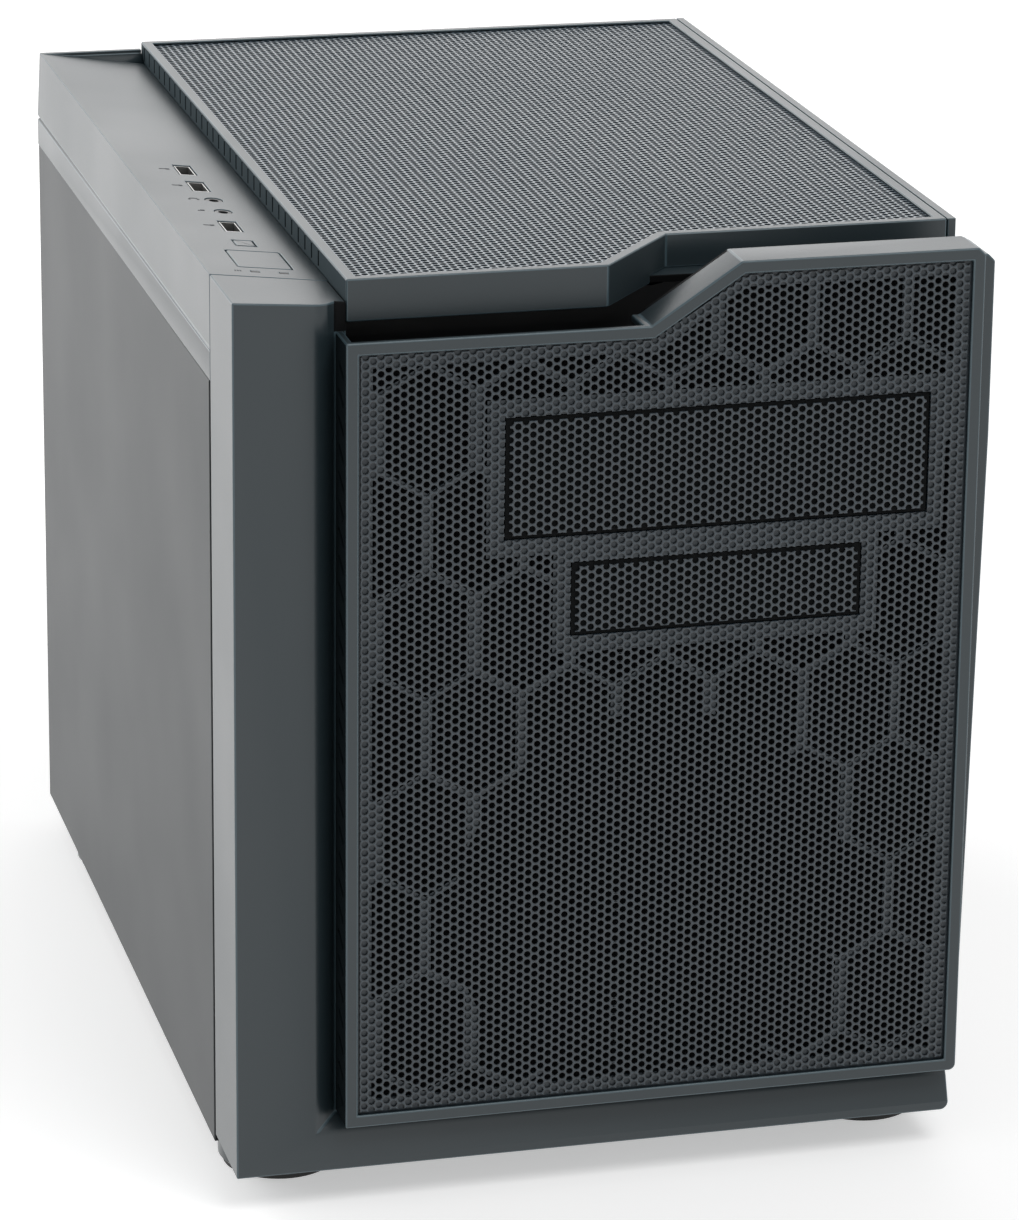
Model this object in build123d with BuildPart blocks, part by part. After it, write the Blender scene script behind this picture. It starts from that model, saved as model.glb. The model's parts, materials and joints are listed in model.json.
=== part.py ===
from build123d import *
import os
from math import cos, radians, sin, sqrt, tan

os.makedirs("parts", exist_ok=True)

# Micro ATX cube case in millimetres: X to the right, front towards -Y, Z up from the ground.
# The motherboard lies flat on a tray at mid height, with the power supply and disks below it.

# Outer sizes
case_width = 264.0
case_depth = 400.0
foot_height = 14.0
body_height = 311.7  # from the underside of the floor to the ridge along the top left edge
hood_rise = 2.8  # hood's top above the ridge
bezel_rise = 6.2  # raised right part of the front bezel above the ridge

# Material thicknesses and clearances
sheet = 0.8
wall = 2.5
gap = 0.3

# Front moulding and bezel
rim_setback = 6.0  # frame's outer rim behind the bezel's face
bezel_reach = 16.0  # bezel's face in front of the frame's plate
frame_depth = 38.0
frame_rim_width = 1.8
frame_strip_height = 3.3
left_border = 36.85
right_border = 6.5
bottom_border = 17.8
border_knee = (5.5, 4.5)  # the borders steepen this far from the bezel, and lie this deep there
flange_rise = 2.3  # flange beside the bezel, above the ridge
flange_inset = 1.0
flange_length = 21.0
flange_chamfer = 2.5
flange_taper = 4.0
flange_bend_height = 250.0
chin_radius = 3.0
bezel_low_drop = 14.4  # low left part of the bezel's top below the ridge
bezel_bend_x = 140.6  # first bend of the top edge, from the case's left side
bezel_diagonal = 31.1
bezel_rim = 4.4
bezel_lip = 1.2
bezel_corner = 2.5
mesh_thickness = 0.8
backing_thickness = 1.5
filter_thickness = 2.0
bezel_slit_pitch = 9.6
bezel_slit_height = 1.5
bezel_slit_length = 8.5
bezel_slit_angle = 30.0

# Honeycomb of the backing plate, with a round opening before the fan
cell_pitch = 33.2
cell_row_pitch = 35.9
cell_rib = 4.1
cell_border = 5.0
bay_band = 6.0
cell_centre_from_left = 64.9
cell_centre_from_ridge = 46.6

# Drive bay openings in the front
wide_bay_width = 148.8
wide_bay_height = 42.9
wide_bay_from_right = 24.0
wide_bay_from_ridge = 43.4
small_bay_width = 102.6
small_bay_height = 26.3
small_bay_from_right = 46.9
bay_spacing = 9.1
cover_gap = 0.4
cover_wall = 2.0
cover_depth = 12.0
bay_cage_length = 150.0
bay_slot = (9.0, 3.6)

# Top cover and its control strip
strip_angle = 6.4
strip_width = 40.65
skirt_drop = 25.2
skirt_flare = 1.2
lip_height = 11.8
cover_flange = 3.0
cover_setback = 5.0  # cover's back end in front of the steel back
gusset_length = 8.0
deck_drop = 9.2
frame_deck_drop = 23.7

# Hood over the top
hood_front_setback = 17.3
hood_notch_x = 130.4
hood_notch_width = 30.1
hood_notch_depth = 36.0
hood_front_height = 14.7
hood_rim = 4.1
hood_lip = 1.0
hood_slit_pitch = 10.8
hood_slit_width = 1.2
hood_slit_margin = 1.4
hood_grid_counts = (7, 12)
hood_grid_bar = 3.0

# Steel chassis
panel_gap = 3.0  # chassis side inside the case's outer side
back_setback = 3.0
roof_drop = 25.7  # roof plate's underside below the ridge
rail_leg = 12.0
tray_height = 98.0  # tray's underside above the floor's underside
tray_length = 258.2
panel_setback = 2.0  # panels start behind the seam of the front moulding
panel_hang = 3.5  # side panels hang below the floor
panel_tab_width = 12.0
panel_tab_height = 22.0

# Control strip fittings, placed down the slope from the ridge and back from the bezel's face
port_slope_x = 21.4
usb_ys = (114.3, 172.9, 198.0)
usb_window = (6.7, 15.0)
usb_shell = (5.8, 13.2)
usb_shell_wall = 0.45
usb_tongue = (1.8, 11.0, 7.5)
jack_slope_x = 23.2
jack_ys = (136.0, 153.1)
jack_radius = 3.0
jack_bore = 1.8
power_size = (18.7, 23.0)
power_slope_x = 21.9
power_y = 68.0
reset_size = (7.0, 7.9)
reset_slope_x = 21.5
reset_y = 90.5
button_cap = 3.0
button_stem_radius = 2.5
button_travel = 1.5
light_size = (3.2, 1.8)
light_slope_xs = (17.2, 27.1)
light_y = 51.1
board_depth = 13.0
board_thickness = 1.6
board_width = 28.0
board_end_margin = 6.0
switch_size = 6.0
post_radius = 2.2
post_spread = 22.0

# Fans
front_fan_size = 140.0
front_fan_spacing = 124.5
rear_fan_size = 120.0
fan_spacing = 105.0
fan_depth = 25.0
fan_wall = 2.0
fan_hub_radius = 20.0
fan_tip_gap = 1.5
fan_blades = 9
fan_blade_angle = 38.0
fan_blade_thickness = 1.6
fan_screw_radius = 2.2
fan_screw_head = 3.6
fan_strut = 4.0
motor_depth = 4.0
front_fan_x = 145.0
front_fan_z = 91.0
rear_fan_from_right = 79.0
rear_fan_z = 214.0

# Vent pattern of the steel sheets
vent_pitch = 14.0
vent_hole_radius = 6.4
floor_slot = (32.0, 5.0)
floor_slot_pitch = 40.0
floor_slot_counts = (7, 3)

# Motherboard fixing and rear openings
standoff_height = 6.5
standoff_radius = 2.75
standoff_bore = 1.4
board_edge_gap = 1.0
hole_inset_side = 6.35
hole_inset_back = 10.16
hole_columns = (0.0, 157.48, 203.2)
hole_rows = (0.0, 154.94, 227.33)
io_width = 158.75
io_height = 44.45
io_side_inset = 6.5
io_below_board = 3.8
pcb_thickness = 1.6
slot_pitch = 20.32
slot_first_inset = 181.6
slot_count = 4
slot_opening_width = 14.5
slot_opening_height = 104.0
slot_cover_width = 18.4
slot_cover_height = 118.0
slot_cover_slits = 6
slot_cover_slit_height = 4.7
screw_radius = 1.5
screw_head_radius = 3.0
screw_head_height = 2.0

# Power supply bay and its dust filter
psu_width = 150.0
psu_height = 86.0
psu_length = 160.0
psu_border = 6.0
psu_screw_drop = 64.0
pad_height = 4.0
pad_size = (10.0, 20.0)
filter_foot_clearance = 8.5
filter_frame_length = 150.0
filter_frame_height = 2.4
filter_frame_border = 8.0
filter_rail_width = 6.0

# Disk cage in front of the power supply
disk_width = 101.6
disk_length = 147.0
disk_height = 26.1
disk_tray_wall = 2.0
disk_tray_count = 2
disk_tray_pitch = 40.0
disk_cage_setback = 80.0  # cage's front plate behind the bezel's face
ledge_width = 3.0

# Feet and screws
foot_radius = 21.7
foot_pad_radius = 20.0
foot_pad_height = 1.5
foot_side_inset = 24.5
foot_end_inset = 52.4
thumb_radius = 4.5
thumb_height = 5.0
thumb_shank = 5.0
thumb_hole_radius = 1.9

# Places worked out from the sizes above
x_left = -case_width / 2
x_right = case_width / 2
y_bezel = -case_depth / 2
y_rim = y_bezel + rim_setback
y_plate = y_bezel + bezel_reach
y_steel = y_rim + frame_depth
y_back = case_depth / 2 - back_setback
z_floor = foot_height
z_floor_top = z_floor + sheet
z_ridge = foot_height + body_height
z_hood = z_ridge + hood_rise
z_bezel = z_ridge + bezel_rise
z_bezel_low = z_ridge - bezel_low_drop
z_roof = z_ridge - roof_drop
z_roof_top = z_roof + sheet
z_tray = z_floor + tray_height
z_tray_top = z_tray + sheet
z_deck = z_ridge - deck_drop
z_frame_deck = z_ridge - frame_deck_drop
chassis_x = x_right - panel_gap
x_strip_end = x_left + strip_width - gap
strip_fall = strip_width * tan(radians(strip_angle))
strip = Plane(
    origin=(x_left, y_bezel, z_ridge),
    x_dir=(cos(radians(strip_angle)), 0, -sin(radians(strip_angle))),
    z_dir=(sin(radians(strip_angle)), 0, cos(radians(strip_angle))),
)


def facing(y):
    """Plane across the case at depth y, seen from the front; extrude with a minus to go back."""
    return Plane.XZ.offset(-y)


def block(x_limits, y_limits, z_limits, mode=Mode.ADD):
    """Box between two limits on each axis, in the part being built."""
    spans = (x_limits, y_limits, z_limits)
    with Locations(tuple(sum(span) / 2 for span in spans)):
        Box(*[span[1] - span[0] for span in spans], mode=mode)


def vent_points(radius):
    """Centres of a hexagonal pattern that lie within a circle."""
    row = vent_pitch * sqrt(3) / 2
    count = int(radius / row) + 1
    return [
        ((i + (j % 2) / 2) * vent_pitch, j * row)
        for i in range(-count, count + 1)
        for j in range(-count, count + 1)
        if ((i + (j % 2) / 2) * vent_pitch) ** 2 + (j * row) ** 2 < radius**2
    ]


def fan_vent(x, y, size, spacing):
    """Hexagonal vent with four screw holes in the sketch being drawn."""
    with Locations((x, y)):
        with Locations(*vent_points(size / 2 - vent_hole_radius)):
            RegularPolygon(vent_hole_radius, 6, rotation=30)
        with GridLocations(spacing, spacing, 2, 2):
            Circle(fan_screw_radius)


# Outlines shared by neighbouring pieces, as (x, z) or (x, y) points
bezel_left = x_left + left_border
bezel_right = x_right - right_border
bezel_bottom = z_floor + bottom_border
bend_low = x_left + bezel_bend_x
bend_high = bend_low + bezel_diagonal
bezel_outline = [
    (bezel_left, bezel_bottom),
    (bezel_right, bezel_bottom),
    (bezel_right, z_bezel),
    (bend_high, z_bezel),
    (bend_low, z_bezel_low),
    (bezel_left, z_bezel_low),
]
hood_front = y_bezel + hood_front_setback
notch_start = x_left + hood_notch_x
notch_end = notch_start + hood_notch_width
y_notch = hood_front + hood_notch_depth
y_cover_back = y_back - cover_setback
hood_left = x_left + strip_width
hood_right = x_right + skirt_flare - cover_flange - gap
hood_outline = [
    (hood_left, hood_front),
    (notch_start, hood_front),
    (notch_end, y_notch),
    (hood_right, y_notch),
    (hood_right, y_cover_back - gap),
    (hood_left, y_cover_back - gap),
]
wide_right = x_right - wide_bay_from_right
wide_left = wide_right - wide_bay_width
wide_top = z_ridge - wide_bay_from_ridge
wide_bottom = wide_top - wide_bay_height
small_right = x_right - small_bay_from_right
small_left = small_right - small_bay_width
small_top = wide_bottom - bay_spacing
small_bottom = small_top - small_bay_height
bays = {
    "wide": (wide_left, wide_right, wide_bottom, wide_top),
    "small": (small_left, small_right, small_bottom, small_top),
}
fan_front_centre = (x_left + front_fan_x, z_floor + front_fan_z)
fan_rear_centre = (x_right - rear_fan_from_right, z_floor + rear_fan_z)
top_vents = ((wide_left + wide_right) / 2 - vent_pitch, y_back - rear_fan_size)


def bay_openings(grow=0.0, mode=Mode.ADD):
    """Both drive bay rectangles, grown by an edge, in the sketch being drawn."""
    for left, right, bottom, top in bays.values():
        with Locations(((left + right) / 2, (bottom + top) / 2)):
            Rectangle(right - left + 2 * grow, top - bottom + 2 * grow, mode=mode)


# Steel floor, with intake slots under the power supply
psu_front = y_back - sheet - psu_length
psu_middle = psu_front + psu_length / 2
with BuildPart() as chassis_floor:
    block((-chassis_x, chassis_x), (y_steel, y_back), (z_floor, z_floor_top))
    with BuildSketch(Plane.XY.offset(z_floor)):
        with Locations((0, psu_middle)):
            with GridLocations(vent_pitch, floor_slot_pitch, *floor_slot_counts):
                SlotOverall(*floor_slot, rotation=90)
    extrude(amount=sheet, mode=Mode.SUBTRACT)
chassis_floor.part.label = "chassis_floor"
export_step(chassis_floor.part, "parts/chassis_floor.step")

# Steel front wall: drive bay openings above, fan vent below
with BuildPart() as front_wall:
    block((-chassis_x, chassis_x), (y_steel, y_steel + sheet), (z_floor_top, z_roof))
    with BuildSketch(facing(y_steel)):
        bay_openings()
        fan_vent(*fan_front_centre, front_fan_size, front_fan_spacing)
    extrude(amount=-sheet, mode=Mode.SUBTRACT)
front_wall.part.label = "front_wall"
export_step(front_wall.part, "parts/front_wall.step")

# Steel back wall: power supply, connector and card openings, fan vent and thumbscrew holes
board_right = chassis_x - board_edge_gap
z_board = z_tray_top + standoff_height
z_io = z_board + pcb_thickness - io_below_board
io_centre = (board_right - io_side_inset - io_width / 2, z_io + io_height / 2)
slot_xs = [board_right - slot_first_inset - i * slot_pitch for i in range(slot_count)]
z_slot = z_tray_top + rail_leg
psu_bottom = z_floor_top + pad_height
thumb_x = x_right - panel_tab_width / 2
thumb_zs = (z_floor + panel_tab_height, z_roof - 2 * panel_tab_height)
psu_screws = [
    (-psu_width / 2 + psu_border, psu_bottom + psu_height - psu_border),
    (psu_width / 2 - psu_border, psu_bottom + psu_height - psu_border),
    (-psu_width / 2 + psu_border, psu_bottom + psu_height - psu_border - psu_screw_drop),
    (psu_width / 2 - 5 * psu_border, psu_bottom + psu_border),
]
with BuildPart() as rear_wall:
    block((-chassis_x, chassis_x), (y_back - sheet, y_back), (z_floor_top, z_roof))
    with BuildSketch(facing(y_back - sheet)):
        with Locations(io_centre):
            Rectangle(io_width, io_height)
        for slot_x in slot_xs:
            with Locations((slot_x, z_slot + slot_opening_height / 2)):
                Rectangle(slot_opening_width, slot_opening_height)
            with Locations((slot_x, z_slot + slot_opening_height + 2 * screw_head_radius)):
                Circle(screw_radius + gap)
        with Locations((0, psu_bottom + psu_height / 2)):
            Rectangle(psu_width - 4 * psu_border, psu_height - 2 * psu_border)
        with Locations(*psu_screws):
            Circle(screw_radius + gap)
        with GridLocations(2 * thumb_x, 0, 2, 1):
            with Locations(*[(0, z) for z in thumb_zs]):
                Circle(thumb_hole_radius)
        fan_vent(*fan_rear_centre, rear_fan_size, fan_spacing)
    extrude(amount=-sheet, mode=Mode.SUBTRACT)
rear_wall.part.label = "rear_wall"
export_step(rear_wall.part, "parts/rear_wall.step")

# Steel roof with places for two fans under the hood
with BuildPart() as roof_panel:
    block((-chassis_x, chassis_x), (y_steel, y_back), (z_roof, z_roof_top))
    with BuildSketch(Plane.XY.offset(z_roof)):
        for row in range(2):
            vent_y = top_vents[1] - row * (rear_fan_size + vent_pitch)
            fan_vent(top_vents[0], vent_y, rear_fan_size, fan_spacing)
    extrude(amount=sheet, mode=Mode.SUBTRACT)
roof_panel.part.label = "roof_panel"
export_step(roof_panel.part, "parts/roof_panel.step")

# Folded rails along the four long edges, and two that carry the tray
rail_rows = {
    "lower_rail": (z_floor_top, 1),
    "upper_rail": (z_roof, -1),
    "tray_rail": (z_tray, -1),
}
for row_name, (z_seat, turn) in rail_rows.items():
    for side_name, side in (("left", -1), ("right", 1)):
        with BuildPart() as rail:
            with BuildSketch(facing(y_steel + sheet)):
                with BuildLine():
                    Polyline(
                        (side * chassis_x, z_seat),
                        (side * (chassis_x - rail_leg), z_seat),
                        (side * (chassis_x - rail_leg), z_seat + turn * sheet),
                        (side * (chassis_x - sheet), z_seat + turn * sheet),
                        (side * (chassis_x - sheet), z_seat + turn * rail_leg),
                        (side * chassis_x, z_seat + turn * rail_leg),
                        close=True,
                    )
                make_face()
            extrude(amount=-(y_back - y_steel - 2 * sheet))
        rail.part.label = f"{row_name}_{side_name}"
        export_step(rail.part, f"parts/{row_name}_{side_name}.step")

# Motherboard tray and its brass standoffs
y_tray = y_back - sheet - tray_length
with BuildPart() as motherboard_tray:
    block((-chassis_x, chassis_x), (y_tray, y_back - sheet), (z_tray, z_tray_top))
motherboard_tray.part.label = "motherboard_tray"
export_step(motherboard_tray.part, "parts/motherboard_tray.step")

hole_right = board_right - hole_inset_side
hole_back = y_back - sheet - hole_inset_back
with BuildPart() as standoffs:
    with BuildSketch(Plane.XY.offset(z_tray_top)):
        with Locations(*[(hole_right - x, hole_back - y) for x in hole_columns for y in hole_rows]):
            RegularPolygon(standoff_radius, 6)
            Circle(standoff_bore, mode=Mode.SUBTRACT)
    extrude(amount=standoff_height)
standoffs.part.label = "standoffs"
export_step(standoffs.part, "parts/standoffs.step")

# Cage of the wide bay: two side plates hung from the roof and a shelf between them
y_cage = y_steel + sheet
for side_name, x_plate in (("left", wide_left - sheet), ("right", wide_right)):
    with BuildPart() as bay_plate:
        plate_limits = (x_plate, x_plate + sheet)
        block(plate_limits, (y_cage, y_cage + bay_cage_length), (wide_bottom - sheet, z_roof))
        with BuildSketch(Plane.YZ.offset(x_plate)):
            with Locations((y_cage + bay_cage_length / 2, (wide_bottom + wide_top) / 2)):
                with GridLocations(bay_cage_length / 2, wide_bay_height / 2, 2, 2):
                    SlotOverall(*bay_slot)
        extrude(amount=sheet, mode=Mode.SUBTRACT)
    bay_plate.part.label = f"wide_bay_plate_{side_name}"
    export_step(bay_plate.part, f"parts/wide_bay_plate_{side_name}.step")

with BuildPart() as wide_bay_shelf:
    block((wide_left, wide_right), (y_cage, y_cage + bay_cage_length), (wide_bottom - sheet, wide_bottom))
wide_bay_shelf.part.label = "wide_bay_shelf"
export_step(wide_bay_shelf.part, "parts/wide_bay_shelf.step")

# Cradle of the small bay: a folded channel under the shelf
with BuildPart() as small_bay_cradle:
    cradle_x = (small_left - sheet, small_right + sheet)
    cradle_y = (y_cage, y_cage + bay_cage_length)
    block(cradle_x, cradle_y, (small_bottom - sheet, wide_bottom - sheet))
    block((small_left, small_right), cradle_y, (small_bottom, wide_bottom - sheet), Mode.SUBTRACT)
small_bay_cradle.part.label = "small_bay_cradle"
export_step(small_bay_cradle.part, "parts/small_bay_cradle.step")

# Disk cage on the floor: front and back plates with ledges, and trays that go in from the right
tray_inner = disk_width + 2 * gap
tray_outer = tray_inner + 2 * disk_tray_wall
cage_front = y_bezel + disk_cage_setback
cage_inner = tray_outer + 2 * gap
cage_back = cage_front + sheet + cage_inner
cage_right = chassis_x - rail_leg - gap
cage_left = cage_right - disk_length - disk_tray_wall
tray_floors = [z_floor_top + rail_leg + i * disk_tray_pitch for i in range(disk_tray_count)]
cage_top = tray_floors[-1] + disk_height + rail_leg
for side_name, y_side, inward in (("front", cage_front, 1), ("back", cage_back, -1)):
    with BuildPart() as cage_plate:
        block((cage_left, cage_right), (y_side, y_side + sheet), (z_floor_top, cage_top))
        y_inner = y_side + sheet if inward > 0 else y_side
        for z in tray_floors:
            ledge = sorted((y_inner, y_inner + inward * ledge_width))
            block((cage_left, cage_right), ledge, (z - sheet, z))
    cage_plate.part.label = f"disk_cage_{side_name}"
    export_step(cage_plate.part, f"parts/disk_cage_{side_name}.step")

tray_y = (cage_front + sheet + gap, cage_front + sheet + gap + tray_outer)
for i, z in enumerate(tray_floors):
    with BuildPart() as disk_tray:
        block((cage_left, cage_right), tray_y, (z, z + disk_height))
        hollow_x = (cage_left - wall, cage_right - disk_tray_wall)
        hollow_y = (tray_y[0] + disk_tray_wall, tray_y[1] - disk_tray_wall)
        block(hollow_x, hollow_y, (z + disk_tray_wall, z + 2 * disk_height), Mode.SUBTRACT)
    disk_tray.part.label = f"disk_tray_{i + 1}"
    export_step(disk_tray.part, f"parts/disk_tray_{i + 1}.step")

# Rubber pads under the power supply
with BuildPart() as psu_pads:
    with Locations((0, psu_middle, z_floor_top + pad_height / 2)):
        with GridLocations(psu_width - 3 * pad_size[1], psu_length - 3 * pad_size[0], 2, 2):
            Box(pad_size[1], pad_size[0], pad_height)
psu_pads.part.label = "psu_pads"
export_step(psu_pads.part, "parts/psu_pads.step")

# Dust filter that slides out at the back under the floor, and its two rails
foot_x = x_right - foot_side_inset
filter_side = foot_x - foot_radius - filter_foot_clearance - filter_rail_width - gap
filter_y = (y_back - filter_frame_length, y_back)
z_filter = z_floor - gap - filter_frame_height
with BuildPart() as psu_filter:
    block((-filter_side, filter_side), filter_y, (z_filter, z_floor - gap))
    inner_x = filter_side - filter_frame_border
    inner_y = (filter_y[0] + filter_frame_border, filter_y[1] - filter_frame_border)
    block((-inner_x, inner_x), inner_y, (z_filter, z_floor - gap - sheet), Mode.SUBTRACT)
psu_filter.part.label = "psu_filter"
export_step(psu_filter.part, "parts/psu_filter.step")

for side_name, side in (("left", -1), ("right", 1)):
    with BuildPart() as filter_rail:
        edge = side * (filter_side + gap)
        with BuildSketch(facing(filter_y[0])):
            with BuildLine():
                Polyline(
                    (edge, z_floor),
                    (edge + side * filter_rail_width, z_floor),
                    (edge + side * filter_rail_width, z_filter - gap - sheet),
                    (edge - side * filter_rail_width / 2, z_filter - gap - sheet),
                    (edge - side * filter_rail_width / 2, z_filter - gap),
                    (edge, z_filter - gap),
                    close=True,
                )
            make_face()
        extrude(amount=-filter_frame_length)
    filter_rail.part.label = f"filter_rail_{side_name}"
    export_step(filter_rail.part, f"parts/filter_rail_{side_name}.step")

# Feet: a round plastic body with a rubber pad below
foot_places = [
    (side * foot_x, y)
    for side in (-1, 1)
    for y in (y_bezel + foot_end_inset, y_back - foot_end_inset)
]
with BuildPart() as feet:
    with BuildSketch(Plane.XY.offset(foot_pad_height)):
        with Locations(*foot_places):
            Circle(foot_radius)
    extrude(amount=foot_height - foot_pad_height)
    chamfer(feet.edges().group_by(Axis.Z)[0], foot_pad_height)
feet.part.label = "feet"
export_step(feet.part, "parts/feet.step")

with BuildPart() as foot_pads:
    with BuildSketch(Plane.XY):
        with Locations(*foot_places):
            Circle(foot_pad_radius)
    extrude(amount=foot_pad_height)
foot_pads.part.label = "foot_pads"
export_step(foot_pads.part, "parts/foot_pads.step")

# Side panels: a flat steel sheet with hems, and tabs at the back for the thumbscrews
z_panel = (z_floor - panel_hang, z_ridge - skirt_drop - lip_height - gap)
y_tab = (y_back + gap, y_back + gap + sheet)
y_panel = y_steel + panel_setback
for side_name, side in (("left", -1), ("right", 1)):
    with BuildPart() as side_panel:
        plate_x = sorted((side * x_right, side * (x_right - sheet)))
        hem_x = sorted((side * x_right, side * (chassis_x + gap)))
        hem_y = (y_panel, y_back - sheet - gap)
        tab_x = sorted((side * x_right, side * (x_right - panel_tab_width)))
        block(plate_x, (y_panel, y_tab[1]), z_panel)
        block(hem_x, hem_y, (z_panel[0], z_panel[0] + sheet))
        block(hem_x, hem_y, (z_panel[1] - sheet, z_panel[1]))
        for z in thumb_zs:
            block(tab_x, y_tab, (z - panel_tab_height / 2, z + panel_tab_height / 2))
        with BuildSketch(facing(y_back)):
            with Locations(*[(side * thumb_x, z) for z in thumb_zs]):
                Circle(thumb_hole_radius)
        extrude(amount=-2 * (gap + sheet), mode=Mode.SUBTRACT)
    side_panel.part.label = f"side_panel_{side_name}"
    export_step(side_panel.part, f"parts/side_panel_{side_name}.step")

    with BuildPart() as thumbscrews:
        with BuildSketch(facing(y_tab[1])):
            with Locations(*[(side * thumb_x, z) for z in thumb_zs]):
                Circle(thumb_radius)
        extrude(amount=-thumb_height)
        chamfer(thumbscrews.edges().group_by(Axis.Y)[-1], 0.2 * thumb_height)
        with BuildSketch(facing(y_tab[1])):
            with Locations(*[(side * thumb_x, z) for z in thumb_zs]):
                Circle(screw_radius)
        extrude(amount=thumb_shank)
    thumbscrews.part.label = f"thumbscrews_{side_name}"
    export_step(thumbscrews.part, f"parts/thumbscrews_{side_name}.step")

# Blank covers over the card slots, and their screws
z_cover = z_slot - (slot_cover_height - slot_opening_height - 4 * screw_head_radius) / 2
z_slot_screw = z_slot + slot_opening_height + 2 * screw_head_radius
with BuildPart() as slot_covers:
    for slot_x in slot_xs:
        cover_x = (slot_x - slot_cover_width / 2, slot_x + slot_cover_width / 2)
        block(cover_x, (y_back, y_back + sheet), (z_cover, z_cover + slot_cover_height))
    with BuildSketch(facing(y_back)):
        with Locations(*[(slot_x, z_slot_screw) for slot_x in slot_xs]):
            Circle(screw_radius + gap)
        with Locations(*[(slot_x, z_slot + slot_opening_height / 2) for slot_x in slot_xs]):
            with GridLocations(0, vent_pitch, 1, slot_cover_slits):
                SlotOverall(slot_opening_width - 2 * sheet, slot_cover_slit_height)
    extrude(amount=-sheet, mode=Mode.SUBTRACT)
slot_covers.part.label = "slot_covers"
export_step(slot_covers.part, "parts/slot_covers.step")

with BuildPart() as slot_screws:
    with BuildSketch(facing(y_back + sheet)):
        with Locations(*[(slot_x, z_slot_screw) for slot_x in slot_xs]):
            Circle(screw_head_radius)
    extrude(amount=-screw_head_height)
    with BuildSketch(facing(y_back + sheet)):
        with Locations(*[(slot_x, z_slot_screw) for slot_x in slot_xs]):
            Circle(screw_radius)
    extrude(amount=2 * sheet + screw_head_height)
slot_screws.part.label = "slot_screws"
export_step(slot_screws.part, "parts/slot_screws.step")

# Fans: a square frame with struts and motor seat, and a bladed rotor; the air runs along Y
fans = {
    "front_fan": (front_fan_size, front_fan_spacing, fan_front_centre, y_steel + sheet, 1),
    "rear_fan": (rear_fan_size, fan_spacing, fan_rear_centre, y_back - sheet, -1),
}
for fan_name, (size, spacing, centre, y_seat, inward) in fans.items():
    bore = size / 2 - fan_wall
    y_far = y_seat + inward * fan_depth
    with BuildPart() as fan_frame:
        with BuildSketch(facing(y_seat)):
            with Locations(centre):
                RectangleRounded(size, size, fan_wall)
                Circle(bore, mode=Mode.SUBTRACT)
                with GridLocations(spacing, spacing, 2, 2):
                    Circle(fan_screw_radius, mode=Mode.SUBTRACT)
        extrude(amount=-inward * fan_depth)
        with BuildSketch(facing(y_far)):
            with Locations(centre):
                Circle(fan_hub_radius)
                with PolarLocations(0, 2):
                    Rectangle(2 * bore + fan_wall, fan_strut)
                with PolarLocations(0, 2, start_angle=90):
                    Rectangle(2 * bore + fan_wall, fan_strut)
        extrude(amount=inward * motor_depth)
    fan_frame.part.label = f"{fan_name}_frame"
    export_step(fan_frame.part, f"parts/{fan_name}_frame.step")

    rotor_depth = fan_depth - motor_depth - 2 * fan_wall
    y_rotor = y_seat + inward * fan_wall
    with BuildPart() as fan_rotor:
        with BuildSketch(facing(y_rotor)):
            with Locations(centre):
                Circle(fan_hub_radius)
        extrude(amount=-inward * (rotor_depth + fan_wall))
        blade_reach = bore - fan_tip_gap - fan_hub_radius + fan_wall
        blade_middle = fan_hub_radius - fan_wall + blade_reach / 2
        for k in range(fan_blades):
            spoke = (0, k * 360 / fan_blades, 0)
            hub = Location((centre[0], y_rotor + inward * rotor_depth / 2, centre[1]), spoke)
            with Locations(hub * Location((blade_middle, 0, 0), (fan_blade_angle, 0, 0))):
                Box(blade_reach, fan_blade_thickness, rotor_depth)
    fan_rotor.part.label = f"{fan_name}_rotor"
    export_step(fan_rotor.part, f"parts/{fan_name}_rotor.step")

with BuildPart() as fan_screws:
    for size, spacing, centre, y_seat, inward in fans.values():
        with BuildSketch(facing(y_seat - inward * sheet)):
            with Locations(centre):
                with GridLocations(spacing, spacing, 2, 2):
                    Circle(fan_screw_head)
        extrude(amount=inward * screw_head_height)
        with BuildSketch(facing(y_seat - inward * sheet)):
            with Locations(centre):
                with GridLocations(spacing, spacing, 2, 2):
                    Circle(fan_screw_radius - gap)
        extrude(amount=-inward * fan_depth / 3)
fan_screws.part.label = "fan_screws"
export_step(fan_screws.part, "parts/fan_screws.step")

# Hollow behind the front moulding's sloped borders
knee_x, knee_y = border_knee
x_flange = x_right - flange_inset
dish_right = bezel_right + gap
dish_top = z_bezel + bezel_rise
dish_steps = (
    (y_rim, x_left + frame_rim_width, z_floor + frame_strip_height),
    (y_rim + knee_y, bezel_left - knee_x, bezel_bottom - knee_x / 2),
    (y_plate, bezel_left - gap, bezel_bottom - gap),
)
strip_end_z = z_ridge - strip_fall


def dish(shift, mode):
    """Pyramid-shaped hollow between the frame's rim and the bezel's foot, moved back by shift."""
    sections = []
    for y, left, bottom in dish_steps:
        with BuildSketch(facing(y + shift)) as section:
            with Locations(((left + dish_right) / 2, (bottom + dish_top) / 2)):
                Rectangle(dish_right - left, dish_top - bottom)
        sections.append(section.sketch.face())
    loft(sections, ruled=True, mode=mode)


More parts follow.
